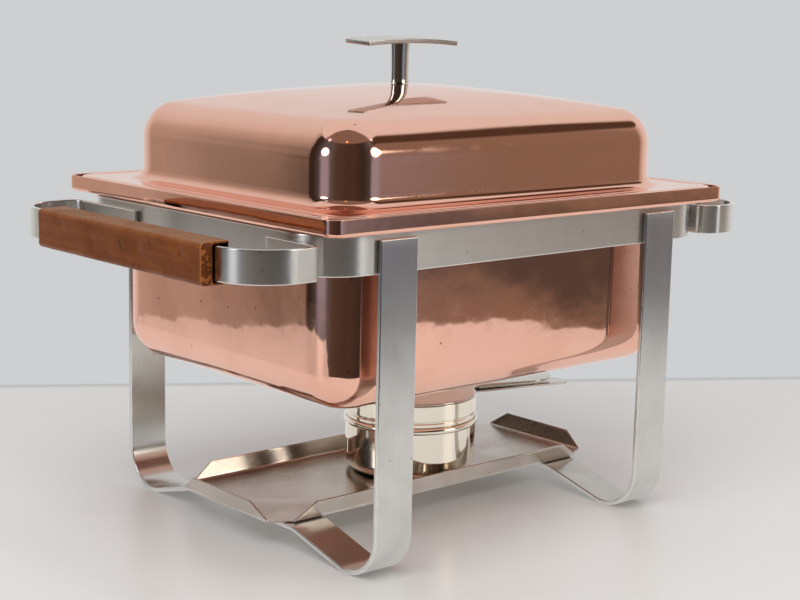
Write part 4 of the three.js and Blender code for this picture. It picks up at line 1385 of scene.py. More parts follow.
@dataclass
class Tray:
    """Sheet tray with four slanted flanges whose ends are cut off diagonally.

    Args:
        sheet: thickness of the sheet.
        flange: height of the flanges along their slope.
        lean: degrees that the flanges lean outward.
        notch: corner left open, along X and along Y.
        cut: length of the diagonal cut at each end of a flange.
        heel: height of a flange where its cut starts.
        bend: inner radius of the folds.
    """

    sheet: float = 1.2
    flange: float = 13.5
    lean: float = 14.0
    notch: tuple[float, float] = (15.0, 9.0)
    cut: float = 16.0
    heel: float = 1.5
    bend: float = 2.2

    def _flange(self, half: float, out: float, floor: float) -> Array:
        """Upper face of one flange, whose fold runs along X at y = -out.

        Formula: the profile runs from the floor through an arc to the slope, and the half length
        falls in a straight line with the height over the heel.

        Args:
            half: half length of the fold.
            out: distance of the fold from the tray's middle.
            floor: height of the floor's top.

        Returns:
            (rows, columns, 3) array, rows going up the flange.
        """
        lean = radians(self.lean)
        tip = (-out - self.flange * sin(lean), floor - self.sheet + self.flange * cos(lean))
        line = refined(filleted([(-out + 4, floor, 0), (-out, floor, self.bend), (*tip, 0)], 9), 2.5)
        height = np.clip((line[:, 1] - floor) / cos(lean) - self.heel, 0, None)
        long = half - height * self.cut / (self.flange - self.sheet - self.heel)
        x = long[:, None] * np.linspace(-1, 1, 81)
        return np.stack([x, line[:, :1] + 0 * x, line[:, 1:] + 0 * x], -1)

    def build(self, finishes: Finishes) -> None:
        """Builds and dresses the tray.

        Formula: the floor is one face whose outline goes round the inner rows and end columns of
        the four flange grids; the sheet's thickness goes down from this upper face.

        Args:
            finishes: every material of the warmer.
        """
        box = Box.of("burner_tray")
        reach = self.flange * sin(radians(self.lean))
        half_x, half_y = box.half[0] - reach, box.half[1] - reach
        floor = box.low[2] + self.sheet
        sizes = [(half_x - self.notch[0], half_y), (half_y - self.notch[1], half_x)] * 2
        points, faces, spots, bends = [], [], [], []
        outline: list[int] = []
        for quarter, (half, out) in enumerate(sizes):
            flat = self._flange(half, out, floor)
            turn = quarter * pi / 2
            axes = [(cos(turn), sin(turn), 0), (-sin(turn), cos(turn), 0), (0, 0, 1)]
            grid = placed(flat, axes, (box.middle[0], box.middle[1], 0))
            rows, columns = grid.shape[:2]
            start = sum(len(p) for p in points)
            number = np.arange(rows * columns).reshape(rows, columns) + start
            cells = [number[:-1, :-1], number[1:, :-1], number[1:, 1:], number[:-1, 1:]]
            faces += [tuple(f) for f in np.stack(cells, -1).reshape(-1, 4).tolist()]
            sheet = np.stack([flat[..., 0], flat[..., 2] - flat[..., 1]], -1)
            corners = [sheet[:-1, :-1], sheet[1:, :-1], sheet[1:, 1:], sheet[:-1, 1:]]
            spots.append(np.stack(corners, 2).reshape(-1, 2))
            points.append(grid.reshape(-1, 3))
            bends.append(bend_of(grid, False, False).reshape(-1))
            fold = int((np.abs(flat[:, 0, 2] - floor) < 1e-6).sum()) - 1
            outline += [*number[fold:0:-1, 0], *number[0], *number[1 : fold + 1, -1]]
        every = np.vstack(points)
        faces.append(tuple(int(i) for i in outline))
        spots.append(every[outline][:, :2])
        made = new_mesh("burner_tray_fine", every, faces, np.vstack(spots), np.concatenate(bends), 30)
        thick = made.modifiers.new("sheet", "SOLIDIFY")
        thick.thickness, thick.offset = self.sheet * MM, -1.0
        edge = made.modifiers.new("edges", "BEVEL")
        edge.width, edge.segments = 0.0003, 2
        edge.limit_method, edge.angle_limit = "ANGLE", radians(50)
        finish_piece(made, finishes.tray, Body.STAND, ["burner_tray"])


# ---- side handles ----


@dataclass
class SideHandle:
    """A strip bow welded to the band's end, with a slotted wooden grip.

    Both handles are one part, so the right one is the left one given half a turn.

    Args:
        side: which end it is on.
        thick: thickness of the strip.
        radius: bend radius on the strip's middle line.
        tabs: (length, bend radius) of the left handle's front and rear tab.
        edge: radius of the wood's outer edges.
        slot: depth of wood over the strip's outer face.
        knocks: place along and over the middle, size and depth of each knock in the wood.
    """

    side: Side
    thick: float = 3.0
    radius: float = 33.0
    tabs: tuple[tuple[float, float], tuple[float, float]] = ((50.0, 3.0), (80.0, 12.0))
    edge: float = 3.4
    slot: float = 9.1
    knocks: tuple[tuple[float, float, float, float], ...] = (
        (68, 2, 3.2, 0.9),
        (121, -6, 2.4, 0.5),
        (24, 9, 2.6, 0.6),
        (160, 5, 3, 0.5),
    )

    def build(self, finishes: Finishes) -> None:
        """Builds and dresses bow, grip and screws.

        Args:
            finishes: every material of the warmer.
        """
        self._bow(finishes)
        self._grip(finishes)
        for end in ("front", "rear"):
            self._screw(end, finishes)

    def _bow(self, finishes: Finishes) -> None:
        """The strip bow, carried along its bent middle line.

        Args:
            finishes: every material of the warmer.
        """
        label = self.side.name.lower()
        box = Box.of(f"handle_bow_{label}")
        sign = self.side.value
        near = sign * (min(abs(box.low[0]), abs(box.high[0])) + self.thick / 2)
        far = sign * (max(abs(box.low[0]), abs(box.high[0])) - self.thick / 2)
        turn = -sign
        front, rear = turn * (box.low[1] + self.thick / 2), turn * (box.high[1] - self.thick / 2)
        front, rear = min(front, rear), max(front, rear)
        (front_tab, front_bend), (rear_tab, rear_bend) = self.tabs
        corners = [
            (near, front + front_tab, 0),
            (near, front, front_bend),
            (far, front, self.radius),
            (far, rear, self.radius),
            (near, rear, rear_bend),
            (near, rear - rear_tab, 0),
        ]
        path = refined(filleted([(x, turn * y, r) for x, y, r in corners], 18), 5)
        wide = box.high[2] - box.low[2]
        grid = carried(path, bar_section(self.thick, wide, 0.8), 1.0)
        grid[..., 2] += box.middle[2]
        grid[..., 2] += ripple(grid, 150, 0.12, 20 + sign) * np.clip(np.abs(grid[..., 0]) / 200, 0, 1)
        made = mesh_object(f"handle_bow_{label}_fine", [Skin(grid)])
        finish_piece(made, finishes.strip, Body.STAND, [f"handle_bow_{label}"])

    def _grip(self, finishes: Finishes) -> None:
        """The wooden grip: a bar with a slot for the strip along its inner side.

        Formula: the closed section is carried along Y, its ends draw in by a small radius, and
        slow waves and a few gaussian knocks move its outer faces.

        Args:
            finishes: every material of the warmer.
        """
        label = self.side.name.lower()
        box = Box.of(f"grip_{label}")
        bow = Box.of(f"handle_bow_{label}")
        sign = self.side.value
        outer = max(abs(box.low[0]), abs(box.high[0]))
        inner = min(abs(box.low[0]), abs(box.high[0]))
        low, top = box.low[2], box.high[2]
        floor = outer - self.slot
        lower, upper = bow.low[2] - 0.3, bow.high[2] + 0.3
        section = filleted(
            [
                (inner, top, 1.0),
                (inner, upper, 0.7),
                (floor, upper, 0.8),
                (floor, lower, 0.8),
                (inner, lower, 0.7),
                (inner, low, 1.0),
                (outer, low, self.edge),
                (outer, top, self.edge),
            ],
            7,
            True,
        )
        section = refined(section, 1.4, True)
        length = box.high[1] - box.low[1]
        path = np.column_stack([np.linspace(0, length, 150), np.zeros(150)])
        grid = carried(path, section[::-1, ::-1], 0.9)
        along, across, out = grid[..., 0], grid[..., 1], grid[..., 2]
        place = np.stack([out, along, across], -1)
        skin = np.clip((out - inner - 1.5) / 4, 0, 1) * (out > floor)
        lift = ripple(place, 42, 0.2, 31 + sign) + ripple(place, 11, 0.05, 37)
        for at_y, at_z, size, depth in self.knocks:
            away = (along - at_y) ** 2 + (across - (low + top) / 2 - at_z) ** 2 * 2
            lift = lift - depth * np.exp(-away / (2 * size**2))
        out = out + np.minimum(lift - 0.25, 0) * skin
        x = sign * out
        y = box.low[1] + along if sign < 0 else box.high[1] - along
        made = mesh_object(f"grip_{label}_fine", [Skin(np.stack([x, y, across], -1), caps="face")])
        finish_piece(made, finishes.wood, Body.STAND, [f"grip_{label}"])

    def _screw(self, end: str, finishes: Finishes) -> None:
        """A slotted screw from the inner side.

        Formula: a low dome, cut by a slot 1.1 mm wide.

        Args:
            end: -1 for the rear screw and 1 for the front one.
            finishes: every material of the warmer.
        """
        label = self.side.name.lower()
        name = f"grip_screw_{label}_{end}"
        box = Box.of(name)
        sign = self.side.value
        head, shank = box.half[2], 1.75
        inner = min(abs(box.low[0]), abs(box.high[0]))
        outer = max(abs(box.low[0]), abs(box.high[0]))
        dome = 1.1 * (1 - (np.linspace(0.02, 1, 16)) ** 2)
        face = np.column_stack([head * np.linspace(0.02, 1, 16), -dome])
        reach = outer - inner
        side = [(head, 0.9), (head - 0.2, 1.1), (shank, 1.1), (shank, reach - 1.6), (0.8, reach - 1.3)]
        profile = np.vstack([face, side])
        grid = turned(profile, 64)
        slot = np.clip((0.55 - np.abs(grid[..., 1])) / 0.15, 0, 1) * (grid[..., 2] < 0.05)
        grid[..., 2] += slot * (0.9 + grid[..., 2] * -0.6)
        centre = (sign * (inner + 1.3), box.middle[1], box.middle[2])
        grid = placed(grid, [(0, 1, 0), (0, 0, 1), (sign, 0, 0)], centre)
        made = mesh_object(f"{name}_fine", [Skin(grid)])
        finish_piece(made, finishes.screw, Body.STAND, [name])


# ---- burner ----


@dataclass
class Burner:
    """Fuel burner: cup, pot, top ring, blade handle, swinging lid and its pivot.

    Args:
        wall: thickness of the spun sheet.
        base: radius of the cup's lower edge.
        bead: how far the bead stands out, and its height.
        flame: radius of the flame opening.
        paddle: angle, reach and end radius of the lid's paddle.
        blade: angle, reach and tip radius of the handle.
        neck: half width of both where they leave the round.
        pin: radius of the pivot pin.
    """

    wall: float = 1.0
    base: float = 9.0
    bead: tuple[float, float] = (1.6, 4.6)
    flame: float = 25.0
    paddle: tuple[float, float, float] = (-6.0, 103.0, 24.5)
    blade: tuple[float, float, float] = (-15.0, 126.0, 8.5)
    neck: float = 10.0
    pin: float = 2.0
    axis: Array = field(default_factory=lambda: Box.of("burner_cup").middle)

    @property
    def radius(self) -> float:
        """Outer radius of cup and pot."""
        return float(Box.of("pot_top").half[0] + self.wall + 0.3)

    def build(self, finishes: Finishes) -> None:
        """Builds and dresses every piece of the burner.

        Args:
            finishes: every material of the warmer.
        """
        self._spun("burner_cup", self._cup(), finishes)
        self._spun("fuel_pot", self._pot(), finishes)
        self._top(finishes)
        self._blade(finishes)
        self._lid(finishes)
        self._pivot(finishes)

    def _spun(self, name: str, profile: Array, finishes: Finishes) -> None:
        """Turns a profile round the burner's axis, with the spinning's faint rings.

        Args:
            name: name of the CAD node that it replaces.
            profile: (n, 2) radii and heights.
            finishes: every material of the warmer.
        """
        grid = turned(refined(profile, 2.5), 128)
        grid[..., :2] *= 1 + 0.00035 * np.sin(grid[..., 2:] * 1.9) + 0.00025 * np.sin(grid[..., 2:] * 4.3)
        grid[..., :2] += self.axis[:2]
        made = mesh_object(f"{name}_fine", [Skin(grid)])
        finish_piece(made, finishes.nickel, Body.BURNER, [name])

    def _cup(self) -> Array:
        """Profile of the cup: base, rounded edge, wall, rolled bead, and back down inside.

        Returns:
            (n, 2) radii and heights.
        """
        box = Box.of("burner_cup")
        low, top = box.low[2], box.high[2]
        proud, tall = self.bead
        r = self.radius
        middle = top - tall / 2
        angle = np.linspace(-pi / 2, pi / 2, 15)[:-1]
        roll = np.column_stack([r + proud * np.cos(angle), middle + tall / 2 * np.sin(angle)])
        outer = filleted([(0.4, low, 0), (r, low, self.base), (r, middle - tall / 2, 0)], 12)
        bore, floor = r - self.wall, low + self.wall
        inner = filleted(
            [(r - 0.2, top, 0), (bore, top - 0.3, 0), (bore, floor, self.base - 1), (0.4, floor, 0)], 10
        )
        return np.vstack([outer[:-1], roll, inner])

    def _pot(self) -> Array:
        """Profile of the fuel pot: it drops into the cup and shows above the bead.

        Returns:
            (n, 2) radii and heights.
        """
        box = Box.of("fuel_pot")
        low, top = box.low[2], box.high[2]
        seat = Box.of("burner_cup").high[2] + 0.3
        r = self.radius
        lower = r - self.wall - 0.3
        return filleted(
            [
                (0.4, low, 0),
                (lower, low, 2.0),
                (lower, seat, 0),
                (r, seat, 0.8),
                (r, seat + 2.6, 0.5),
                (r - 0.5, seat + 3.2, 0.5),
                (r - 0.5, seat + 4.0, 0.5),
                (r, seat + 4.6, 0.5),
                (r, top, 0.45),
                (r - self.wall, top, 0.3),
                (r - self.wall - 0.5, seat + 1.0, 0.5),
                (lower - self.wall, seat, 0.5),
                (lower - self.wall, low + self.wall, 1.2),
                (0.4, low + self.wall, 0),
            ],
            6,
        )

    def _top(self, finishes: Finishes) -> None:
        """The ring plate round the flame opening, with a turned-down inner edge.

        Args:
            finishes: every material of the warmer.
        """
        box = Box.of("pot_top")
        low, top = box.low[2], box.high[2]
        out = box.half[0]
        loop = [
            (self.flame, low - 2.2, 0.3),
            (self.flame, top, 1.1),
            (out, top, 0.25),
            (out, low, 0.25),
            (self.flame + 0.9, low, 0.4),
            (self.flame + 0.9, low - 2.2, 0.3),
        ]
        profile = refined(filleted(loop, 5, True), 4, True)
        grid = turned(profile, 96)
        grid[..., :2] += self.axis[:2]
        made = mesh_object("pot_top_fine", [Skin(grid, wrap_rows=True)])
        finish_piece(made, finishes.nickel, Body.BURNER, ["pot_top"])

    def _leaf(self, root: float, reach: float, end: float) -> Array:
        """Outline of a leaf from its root to its rounded end, from the -Y side to the +Y side.

        Formula: a straight side leans by asin((end - neck) / (reach - root)), and the end is an
        arc of the end radius between both sides.

        Args:
            root: where the leaf starts.
            reach: how far the leaf goes out.
            end: radius of the rounded end.

        Returns:
            (n, 2) outline.
        """
        lean = np.arcsin((end - self.neck) / (reach - root))
        angle = np.linspace(-pi / 2 - lean, pi / 2 + lean, 64)
        arc = np.column_stack([reach + end * np.cos(angle), end * np.sin(angle)])
        return np.vstack([(root, -self.neck), arc, (root, self.neck)])

    def _plate(self, outline: Array, low: float, top: float, edge: float) -> Array:
        """Rings of a plate with rounded edges.

        Formula: insets edge (1 - sin a) at heights edge (1 - cos a).

        Args:
            outline: closed outline seen from above.
            low: lowest height.
            top: highest height.
            edge: radius of the edges.

        Returns:
            (rows, columns, 3) places.
        """
        angle = np.linspace(0, pi / 2, 5)
        inset = np.concatenate([edge * (1 - np.sin(angle)), edge * (1 - np.sin(angle))[::-1]])
        z = np.concatenate([low + edge * (1 - np.cos(angle)), top - edge * (1 - np.cos(angle))[::-1]])
        plan = outline[None] + normals_of(outline, True)[None] * inset[:, None, None]
        height = np.broadcast_to(z[:, None, None], (*plan.shape[:2], 1))
        return np.concatenate([plan, height], axis=2)

    def _turn(self, grid: Array, degrees: float) -> Array:
        """The grid turned round the burner's axis and moved to it."""
        a = radians(degrees)
        return placed(grid, [(cos(a), sin(a), 0), (-sin(a), cos(a), 0), (0, 0, 1)], (*self.axis[:2], 0))

    def _blade(self, finishes: Finishes) -> None:
        """The pot's narrow blade handle, whose root follows the pot's round.

        Args:
            finishes: every material of the warmer.
        """
        box = Box.of("pot_handle")
        angle, reach, tip = self.blade
        r = self.radius + 0.3
        leaf = self._leaf(self.radius - self.neck, reach, tip)
        half = np.arcsin((self.neck + 0.1) / r)
        root = np.linspace(half, -half, 16)[:, None]
        outline = np.vstack([leaf[1:-1], r * np.hstack([np.cos(root), np.sin(root)])])
        grid = self._turn(self._plate(refined(outline, 4, True), box.low[2], box.high[2], 0.5), angle)
        sway = np.clip((np.hypot(grid[..., 0] - self.axis[0], grid[..., 1] - self.axis[1]) - 90) / 45, 0, 1)
        grid[..., 2] -= 0.6 * sway**2
        made = mesh_object("pot_handle_fine", [Skin(grid, caps="face")])
        finish_piece(made, finishes.worn_nickel, Body.BURNER, ["pot_handle"])

    def _lid(self, finishes: Finishes) -> None:
        """The swinging lid: a disc and a wide paddle in one plate, with a hole for the pin.

        Args:
            finishes: every material of the warmer.
        """
        box = Box.of("snuffer_lid")
        pin = Box.of("pivot_pin").middle
        angle, reach, end = self.paddle
        r = self.radius
        leaf = self._leaf(r - self.neck, reach, end)[1:-1]
        half = np.arcsin(self.neck / r) + 0.12
        turn = np.linspace(half, 2 * pi - half, 120)[:, None]
        disc = r * np.hstack([np.cos(turn), np.sin(turn)])
        start, finish = disc[-1], leaf[0]
        handle = (start + (finish - start) * 0.28) * (1, 0.82)
        t = np.linspace(0, 1, 14)[1:-1, None]
        lower = (1 - t) ** 2 * start + 2 * t * (1 - t) * handle + t**2 * finish
        outline = np.vstack([disc, lower, leaf, (lower * (1, -1))[::-1]])
        a = radians(-angle)
        away = pin[:2] - self.axis[:2]
        hole_at = np.array([away[0] * cos(a) - away[1] * sin(a), away[0] * sin(a) + away[1] * cos(a)])
        rings = self._plate(outline, box.low[2], box.high[2], 0.6)
        made = self._pierced("snuffer_lid_fine", rings, hole_at, self.pin + 0.3, angle)
        finish_piece(made, finishes.worn_nickel, Body.SNUFFER, ["snuffer_lid"])

    def _pierced(
        self, name: str, rings: Array, hole: Array, radius: float, degrees: float
    ) -> bpy.types.Object:
        """A plate from its rings, with a round hole through both flat faces.

        Formula: each flat face is two faces that meet along the lines from the hole's top and
        bottom points to the nearest outline points over and under them.

        Args:
            name: name of the object.
            rings: rings of the plate's edge, lowest first.
            hole: the hole's centre in plan.
            radius: the hole's radius.
            degrees: turn of the whole plate.

        Returns:
            The plate as an object.
        """
        columns = rings.shape[1]
        side = Skin(rings)
        turn = np.linspace(0, 2 * pi, 24, endpoint=False)
        plan = hole + radius * np.column_stack([np.cos(turn), np.sin(turn)])
        tube = np.stack([np.column_stack([plan, np.full(24, z)]) for z in (rings[0, 0, 2], rings[-1, 0, 2])])
        every = np.vstack([rings.reshape(-1, 3), tube.reshape(-1, 3)])
        quads, _, _ = Skin(rings, caps="face").faces()
        faces = quads[:-2]
        first_hole = rings.shape[0] * columns
        holes = [np.arange(24) + first_hole, np.arange(24) + first_hole + 24]
        nearest = []
        for sign in (1, -1):
            away = np.abs(rings[0, :, 0] - hole[0]) + 1e3 * (sign * (rings[0, :, 1] - hole[1]) < 0)
            nearest.append(int(away.argmin()))
        upper, lower = nearest
        flat = 6
        for level, ring_row in ((0, 0), (1, rings.shape[0] - 1)):
            base = ring_row * columns
            loop = holes[level]

            def walk(start: int, end: int, count: int) -> list[int]:
                """Indices from start to end, going forward round a ring."""
                return [(start + k) % count for k in range((end - start) % count + 1)]

            one = [base + i for i in walk(upper, lower, columns)]
            one += [int(loop[i]) for i in walk(flat, 3 * flat, 24)[::-1]]
            two = [base + i for i in walk(lower, upper, columns)]
            two += [int(loop[i]) for i in walk(3 * flat, flat, 24)[::-1]]
            if level == 0:
                one, two = one[::-1], two[::-1]
            faces += [tuple(one), tuple(two)]
        low_loop, top_loop = holes
        faces += [
            (int(low_loop[i]), int(top_loop[i]), int(top_loop[(i + 1) % 24]), int(low_loop[(i + 1) % 24]))
            for i in range(24)
        ]
        corners = np.concatenate([np.array(f) for f in faces])
        spots = every[corners][:, :2] + every[corners][:, 2:]
        bend = np.append(side.bend(), np.zeros(48))
        return new_mesh(name, self._turn(every, degrees), faces, spots, bend)

    def _pivot(self, finishes: Finishes) -> None:
        """Pin with domed heads, and the washer between handle and lid.

        Args:
            finishes: every material of the warmer.
        """
        box = Box.of("pivot_pin")
        low, top = box.low[2], box.high[2]
        head = box.half[0]
        shape = [
            (0.1, low, 0),
            (head, low, 0.9),
            (head, low + 1.2, 0.15),
            (self.pin, low + 1.2, 0.1),
            (self.pin, top - 1.2, 0.1),
            (head, top - 1.2, 0.15),
            (head, top, 1.0),
            (0.1, top, 0),
        ]
        grid = turned(filleted([(r, z, f * 0.9) for r, z, f in shape], 6), 40)
        grid[..., :2] += box.middle[:2]
        made = mesh_object("pivot_pin_fine", [Skin(grid)])
        finish_piece(made, finishes.screw, Body.BURNER, ["pivot_pin"])
        ring = Box.of("pivot_washer")
        low, top, out = ring.low[2], ring.high[2], ring.half[0]
        inner = self.pin + 0.3
        loop = [(inner, low, 0.15), (out, low, 0.3), (out, top, 0.3), (inner, top, 0.15)]
        grid = turned(filleted(loop[::-1], 4, True), 40)
        grid[..., :2] += ring.middle[:2]
        made = mesh_object("pivot_washer_fine", [Skin(grid, wrap_rows=True)])
        finish_piece(made, finishes.screw, Body.BURNER, ["pivot_washer"])


def dress_hidden(finishes: Finishes) -> None:
    """Gives the knob's washer and screw their finish; their CAD shapes are kept.

    Args:
        finishes: every material of the warmer.
    """
    for name in ("knob_washer", "knob_screw"):
        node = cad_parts[name]
        node.data.materials.clear()
        node.data.materials.append(finishes.screw)


# ---- stage, lights and camera ----


@dataclass(frozen=True)
class Edge:
    """A straight edge of the table top in plan: beyond it, x * across + y * along exceeds at.

    Args:
        across: share of X.
        along: share of Y.
        at: distance from the middle in metres.
    """

    across: float
    along: float
    at: float


@dataclass
class Studio:
    """Pale table before a pale wall, a room with two lamps, and the camera.

    Args:
        eye: camera position in metres.
        forward: direction of view.
        roll: degrees of roll.
        lens: focal length on a 36 mm sensor.
        wall: foot of the wall.
        edges: the table top's other edges.
        levels: brightness of the room round the horizon: degrees right of forward, level and
            how much more red than blue.
        lamps: degrees right of forward and above the horizon, size and colour of each lamp.
        bearing: compass angle of forward, in degrees from +Y to +X.
        wall_light: what the camera sees of the wall.
    """

    eye: tuple[float, float, float] = (-0.7647, -0.8758, 0.3556)
    forward: tuple[float, float, float] = (0.6495, 0.7394, -0.1774)
    roll: float = 1.187
    lens: float = 73.28
    wall: Edge = Edge(0.5517, 0.8341, 0.360)
    edges: tuple[Edge, ...] = (
        Edge(0.468, -0.884, 0.849),
        Edge(-0.40, -0.92, 0.53),
        Edge(-1.0, 0.03, 0.865),
        Edge(-0.81, 0.58, 0.835),
    )

    levels: tuple[tuple[float, float, float], ...] = (
        (-180, 0.05, 1.8), (-152, 0.07, 1.6), (-142, 0.12, 0.9), (-116, 0.13, 0.8), (-102, 0.06, 1.0),
        (-92, 0.03, 1.6), (-81, 0.03, 1.8), (-79.6, 0.2, 1.35), (-76, 0.32, 1.3), (-73.5, 0.42, 1.25),
        (-68, 0.5, 1.2), (-60, 0.66, 1.1), (-45, 0.74, 1.0), (25, 0.78, 1.0), (50, 0.78, 1.0),
        (61, 0.7, 1.1), (72, 0.5, 1.3), (82, 0.21, 1.7), (102, 0.18, 1.7), (114, 0.14, 0.9),
        (127, 0.07, 0.9), (140, 0.035, 1.4), (165, 0.05, 1.9), (180, 0.05, 1.8),
    )
    lamps: tuple[tuple[float, float, float, Colour], ...] = (
        (-123.0, 17.0, 0.17, (5.0, 5.0, 5.1)),
        (108.0, 16.0, 0.19, (4.0, 3.7, 3.2)),
        (-118.0, 47.0, 0.07, (1.2, 1.2, 1.5)),
        (98.0, 44.0, 0.06, (1.3, 1.25, 1.4)),
        (-178.0, 50.0, 0.05, (1.6, 0.9, 0.35)),
    )

    bearing: float = 41.3
    wall_light: Colour = (0.61, 0.622, 0.63)

    def build(self) -> None:
        """Builds the whole studio."""
        self._camera()
        self._table()
        self._room()
        self._lights()
        view = bpy.context.scene.view_settings
        view.view_transform = "Standard"
        view.look = "None"

    def _camera(self) -> None:
        """The camera, looking along the forward vector."""
        lens = bpy.data.cameras.new("camera")
        lens.lens = self.lens
        lens.sensor_width = 36.0
        lens.clip_end = 60.0
        camera = bpy.data.objects.new("camera", lens)
        ahead = Vector(self.forward).normalized()
        right = ahead.cross(Vector((0, 0, 1))).normalized()
        up = right.cross(ahead)
        r = radians(self.roll)
        right, up = right * cos(r) + up * sin(r), up * cos(r) - right * sin(r)
        turn = Matrix((right, up, -ahead)).transposed().to_4x4()
        camera.matrix_world = Matrix.Translation(self.eye) @ turn
        bpy.context.scene.collection.objects.link(camera)
        bpy.context.scene.camera = camera

    def _table(self) -> None:
        """Pale satin table. Polished metal mirrors it up to its edges, and the room past them; in those
        mirror rays the table is partly an emitting colour, a painted reflection, dimmer to the left.
        """
        size = 12.0
        mesh = bpy.data.meshes.new("table_top")
        square = [(-size, -size, 0), (size, -size, 0), (size, size, 0), (-size, size, 0)]
        mesh.from_pydata(square, [], [(0, 1, 2, 3)])
        table = bpy.data.objects.new("table_top", mesh)
        bpy.context.scene.collection.objects.link(table)
        material = bpy.data.materials.new("pale_table")
        material.use_nodes = True
        b = Board(material.node_tree)
        place = b.add("TexCoord", out="Object")

        def past(edge: Edge, soft: float, ragged: float = 0.0) -> Socket:
            """From 0 before an edge to 1 past it, over a soft width.

            Args:
                edge: the straight edge.
                soft: half width of the change.
                ragged: how far the edge wanders.

            Returns:
                The mask as a socket.
            """
            links = {0: place, 1: (edge.across, edge.along, 0)}
            far = b.add("VectorMath", links, "Value", operation="DOT_PRODUCT")
            if ragged:
                wavy = b.math("MULTIPLY_ADD", b.noise(place, 4.0, 2.0), ragged, -ragged / 2)
                far = b.math("ADD", far, wavy)
            return b.ramp(far, edge.at - soft, edge.at + soft)

        links = {0: place, 1: (self.wall.across, self.wall.along, 0)}
        ahead = b.add("VectorMath", links, "Value", operation="DOT_PRODUCT")
        # Painted shade: a thin dark line along the wall's foot, darkening both the table and the wall.
        seam = b.math("ABSOLUTE", b.math("SUBTRACT", ahead, self.wall.at))
        line = b.ramp(seam, 0.001, 0.011, 1.0, 0.0)
        off = behind = past(self.wall, 0.003)
        pale = b.blend(b.noise(place, 3.0, 2.0), (0.71, 0.715, 0.715, 1), (0.75, 0.75, 0.742, 1))
        tint = b.blend(b.math("MULTIPLY", line, 0.5), pale, (0.38, 0.39, 0.40, 1))
        top = b.add("BsdfPrincipled", {"Base Color": tint, "Roughness": 0.3, "Specular IOR Level": 0.35})
        shade = b.blend(b.math("MULTIPLY", line, 0.55), rgba(self.wall_light), (0.38, 0.39, 0.40, 1))
        wall = b.add("Emission", {"Color": shade, "Strength": 1.0})
        shown = b.add("MixShader", {0: behind, 1: top, 2: wall})
        for edge in self.edges:
            off = b.math("MAXIMUM", off, past(edge, 0.006, 0.07))
        glossy = b.add("LightPath", out="Is Glossy Ray")
        mirrored = b.math("MULTIPLY", off, glossy)
        clear = b.add("BsdfTransparent")
        # Painted reflection: mirror rays see the table partly as an emitting colour, dimmer on the left
        # side.
        left = b.ramp(b.add("SeparateXYZ", {0: place}, 0), -0.65, -0.42)
        painted_reflection_tint = b.blend(left, (0.64, 0.62, 0.60, 1), (0.89, 0.88, 0.87, 1))
        painted_reflection_emission = b.add("Emission", {"Color": painted_reflection_tint, "Strength": 1.0})
        lit = b.add("MixShader", {0: b.math("MULTIPLY", glossy, 0.65), 1: shown, 2: painted_reflection_emission})
        b.add("OutputMaterial", {"Surface": b.add("MixShader", {0: mirrored, 1: lit, 2: clear})})
        mesh.materials.append(material)

    def _room(self) -> None:
        """The room: a pale wall ahead, dim sides, two lamps to the rear, and a pale ceiling ahead.

        The level at the horizon comes from a ramp over the compass angle, with forward in its
        middle; masks over the height and that angle add ceiling, dark frieze and lamps.
        """
        world = bpy.data.worlds.new("room")
        bpy.context.scene.world = world
        world.use_nodes = True
        b = Board(world.node_tree)
        way = b.add("TexCoord", out="Generated")
        ahead = b.add("VectorMath", {0: way, 1: (0.66, 0.751, 0)}, "Value", operation="DOT_PRODUCT")
        right = b.add("VectorMath", {0: way, 1: (0.751, -0.66, 0)}, "Value", operation="DOT_PRODUCT")
        z = b.add("SeparateXYZ", {0: way}, 2)
        turn = b.math("DIVIDE", b.math("ARCTAN2", right, ahead), 2 * pi)
        wobble = b.math("MULTIPLY_ADD", b.noise(way, 5.0, 2.0), 0.02, -0.01)
        turn = b.math("ADD", turn, wobble)
        levels = b.tree.nodes.new("ShaderNodeValToRGB")
        ramp = levels.color_ramp
        while len(ramp.elements) < len(self.levels):
            ramp.elements.new(0.5)
        for element, (angle, level, warm) in zip(ramp.elements, self.levels):
            element.position = angle / 360 + 0.5
            element.color = (level * warm**0.5, level, level / warm**0.5, 1)
        b.tree.links.new(b.math("ADD", turn, 0.5), levels.inputs[0])
        right_side = b.math("MULTIPLY", turn, 360.0)
        aside = b.math("ABSOLUTE", right_side)

        def between(value: object, low: float, high: float, soft: float) -> Socket:
            """1 between two levels, with soft ends."""
            rise = b.ramp(value, low - soft, low + soft)
            return b.math("MULTIPLY", rise, b.ramp(value, high - soft, high + soft, 1.0, 0.0))

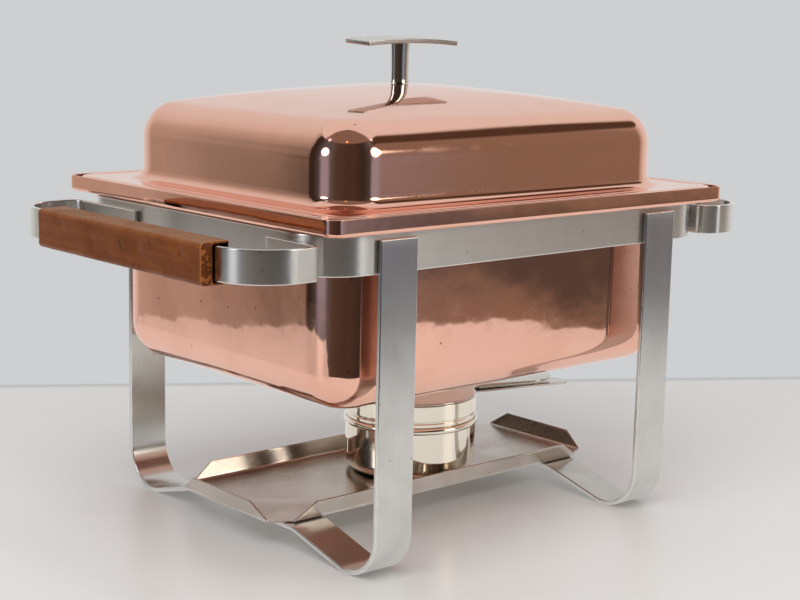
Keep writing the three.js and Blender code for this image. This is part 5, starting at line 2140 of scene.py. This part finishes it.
        dark = b.math("MULTIPLY", between(z, 0.52, 0.70, 0.035), between(right_side, 60.0, 106.0, 5.0))
        sky = b.blend(dark, levels.outputs[0], (0.085, 0.055, 0.036, 1))
        fore = b.ramp(aside, 96.0, 110.0, 1.0, 0.0)
        above = b.blend(fore, (0.24, 0.18, 0.15, 1), (0.80, 0.80, 0.80, 1))
        sky = b.blend(b.ramp(z, 0.68, 0.73), sky, above)
        low = b.math("MULTIPLY", between(z, -0.172, -0.12, 0.012), between(right_side, 66.0, 106.0, 4.0))
        sky = b.blend(b.math("MULTIPLY", low, 0.85), sky, (0.07, 0.065, 0.06, 1))
        for angle, half in ((-124.0, 15.0), (109.0, 13.0)):
            off = b.math("ABSOLUTE", b.math("SUBTRACT", right_side, angle))
            shine = b.ramp(off, half * 0.4, half * 1.2, 0.85, 0.0)
            shine = b.math("MULTIPLY", shine, between(z, -0.2, 0.3, 0.06))
            sky = b.blend(shine, sky, (0.38, 0.42, 0.56, 1))
        for angle, height, size, color in self.lamps:
            a, e = radians(angle + self.bearing), radians(height)
            spot = (sin(a) * cos(e), cos(a) * cos(e), sin(e))
            gap = b.add("VectorMath", {0: way, 1: spot}, "Value", operation="DISTANCE")
            sky = b.blend(b.ramp(gap, size * 0.85, size * 1.1, 1.0, 0.0), sky, (*color, 1))
        seen = b.add("LightPath", out="Is Camera Ray")
        shown = b.blend(seen, sky, rgba(self.wall_light))
        light = b.add("Background", {"Color": shown, "Strength": 1.0})
        b.add("OutputWorld", {"Surface": light})

    def _lights(self) -> None:
        """A large soft panel overhead, which the metal doesn't mirror, for soft shade below."""
        lamp = bpy.data.lights.new("overhead", "AREA")
        lamp.shape = "RECTANGLE"
        lamp.size, lamp.size_y = 2.4, 2.4
        lamp.energy = 48.0
        lamp.color = (1.0, 0.995, 0.985)
        panel = bpy.data.objects.new("overhead", lamp)
        panel.location = (-1.05, -1.2, 1.85)
        panel.visible_glossy = False
        bpy.context.scene.collection.objects.link(panel)


def main() -> None:
    """Builds the finishes and the studio, then the warmer piece by piece."""
    logging.basicConfig(level=logging.INFO, format="%(name)s %(message)s")
    finishes = Finishes()
    Studio().build()
    CopperPan().build(finishes)
    InsertPan().build(finishes)
    CrownedLid().build(finishes)
    Knob().build(finishes)
    Stand().build(finishes)
    for side in Side:
        SideHandle(side).build(finishes)
    Burner().build(finishes)
    dress_hidden(finishes)


if __name__ == "__main__":
    main()
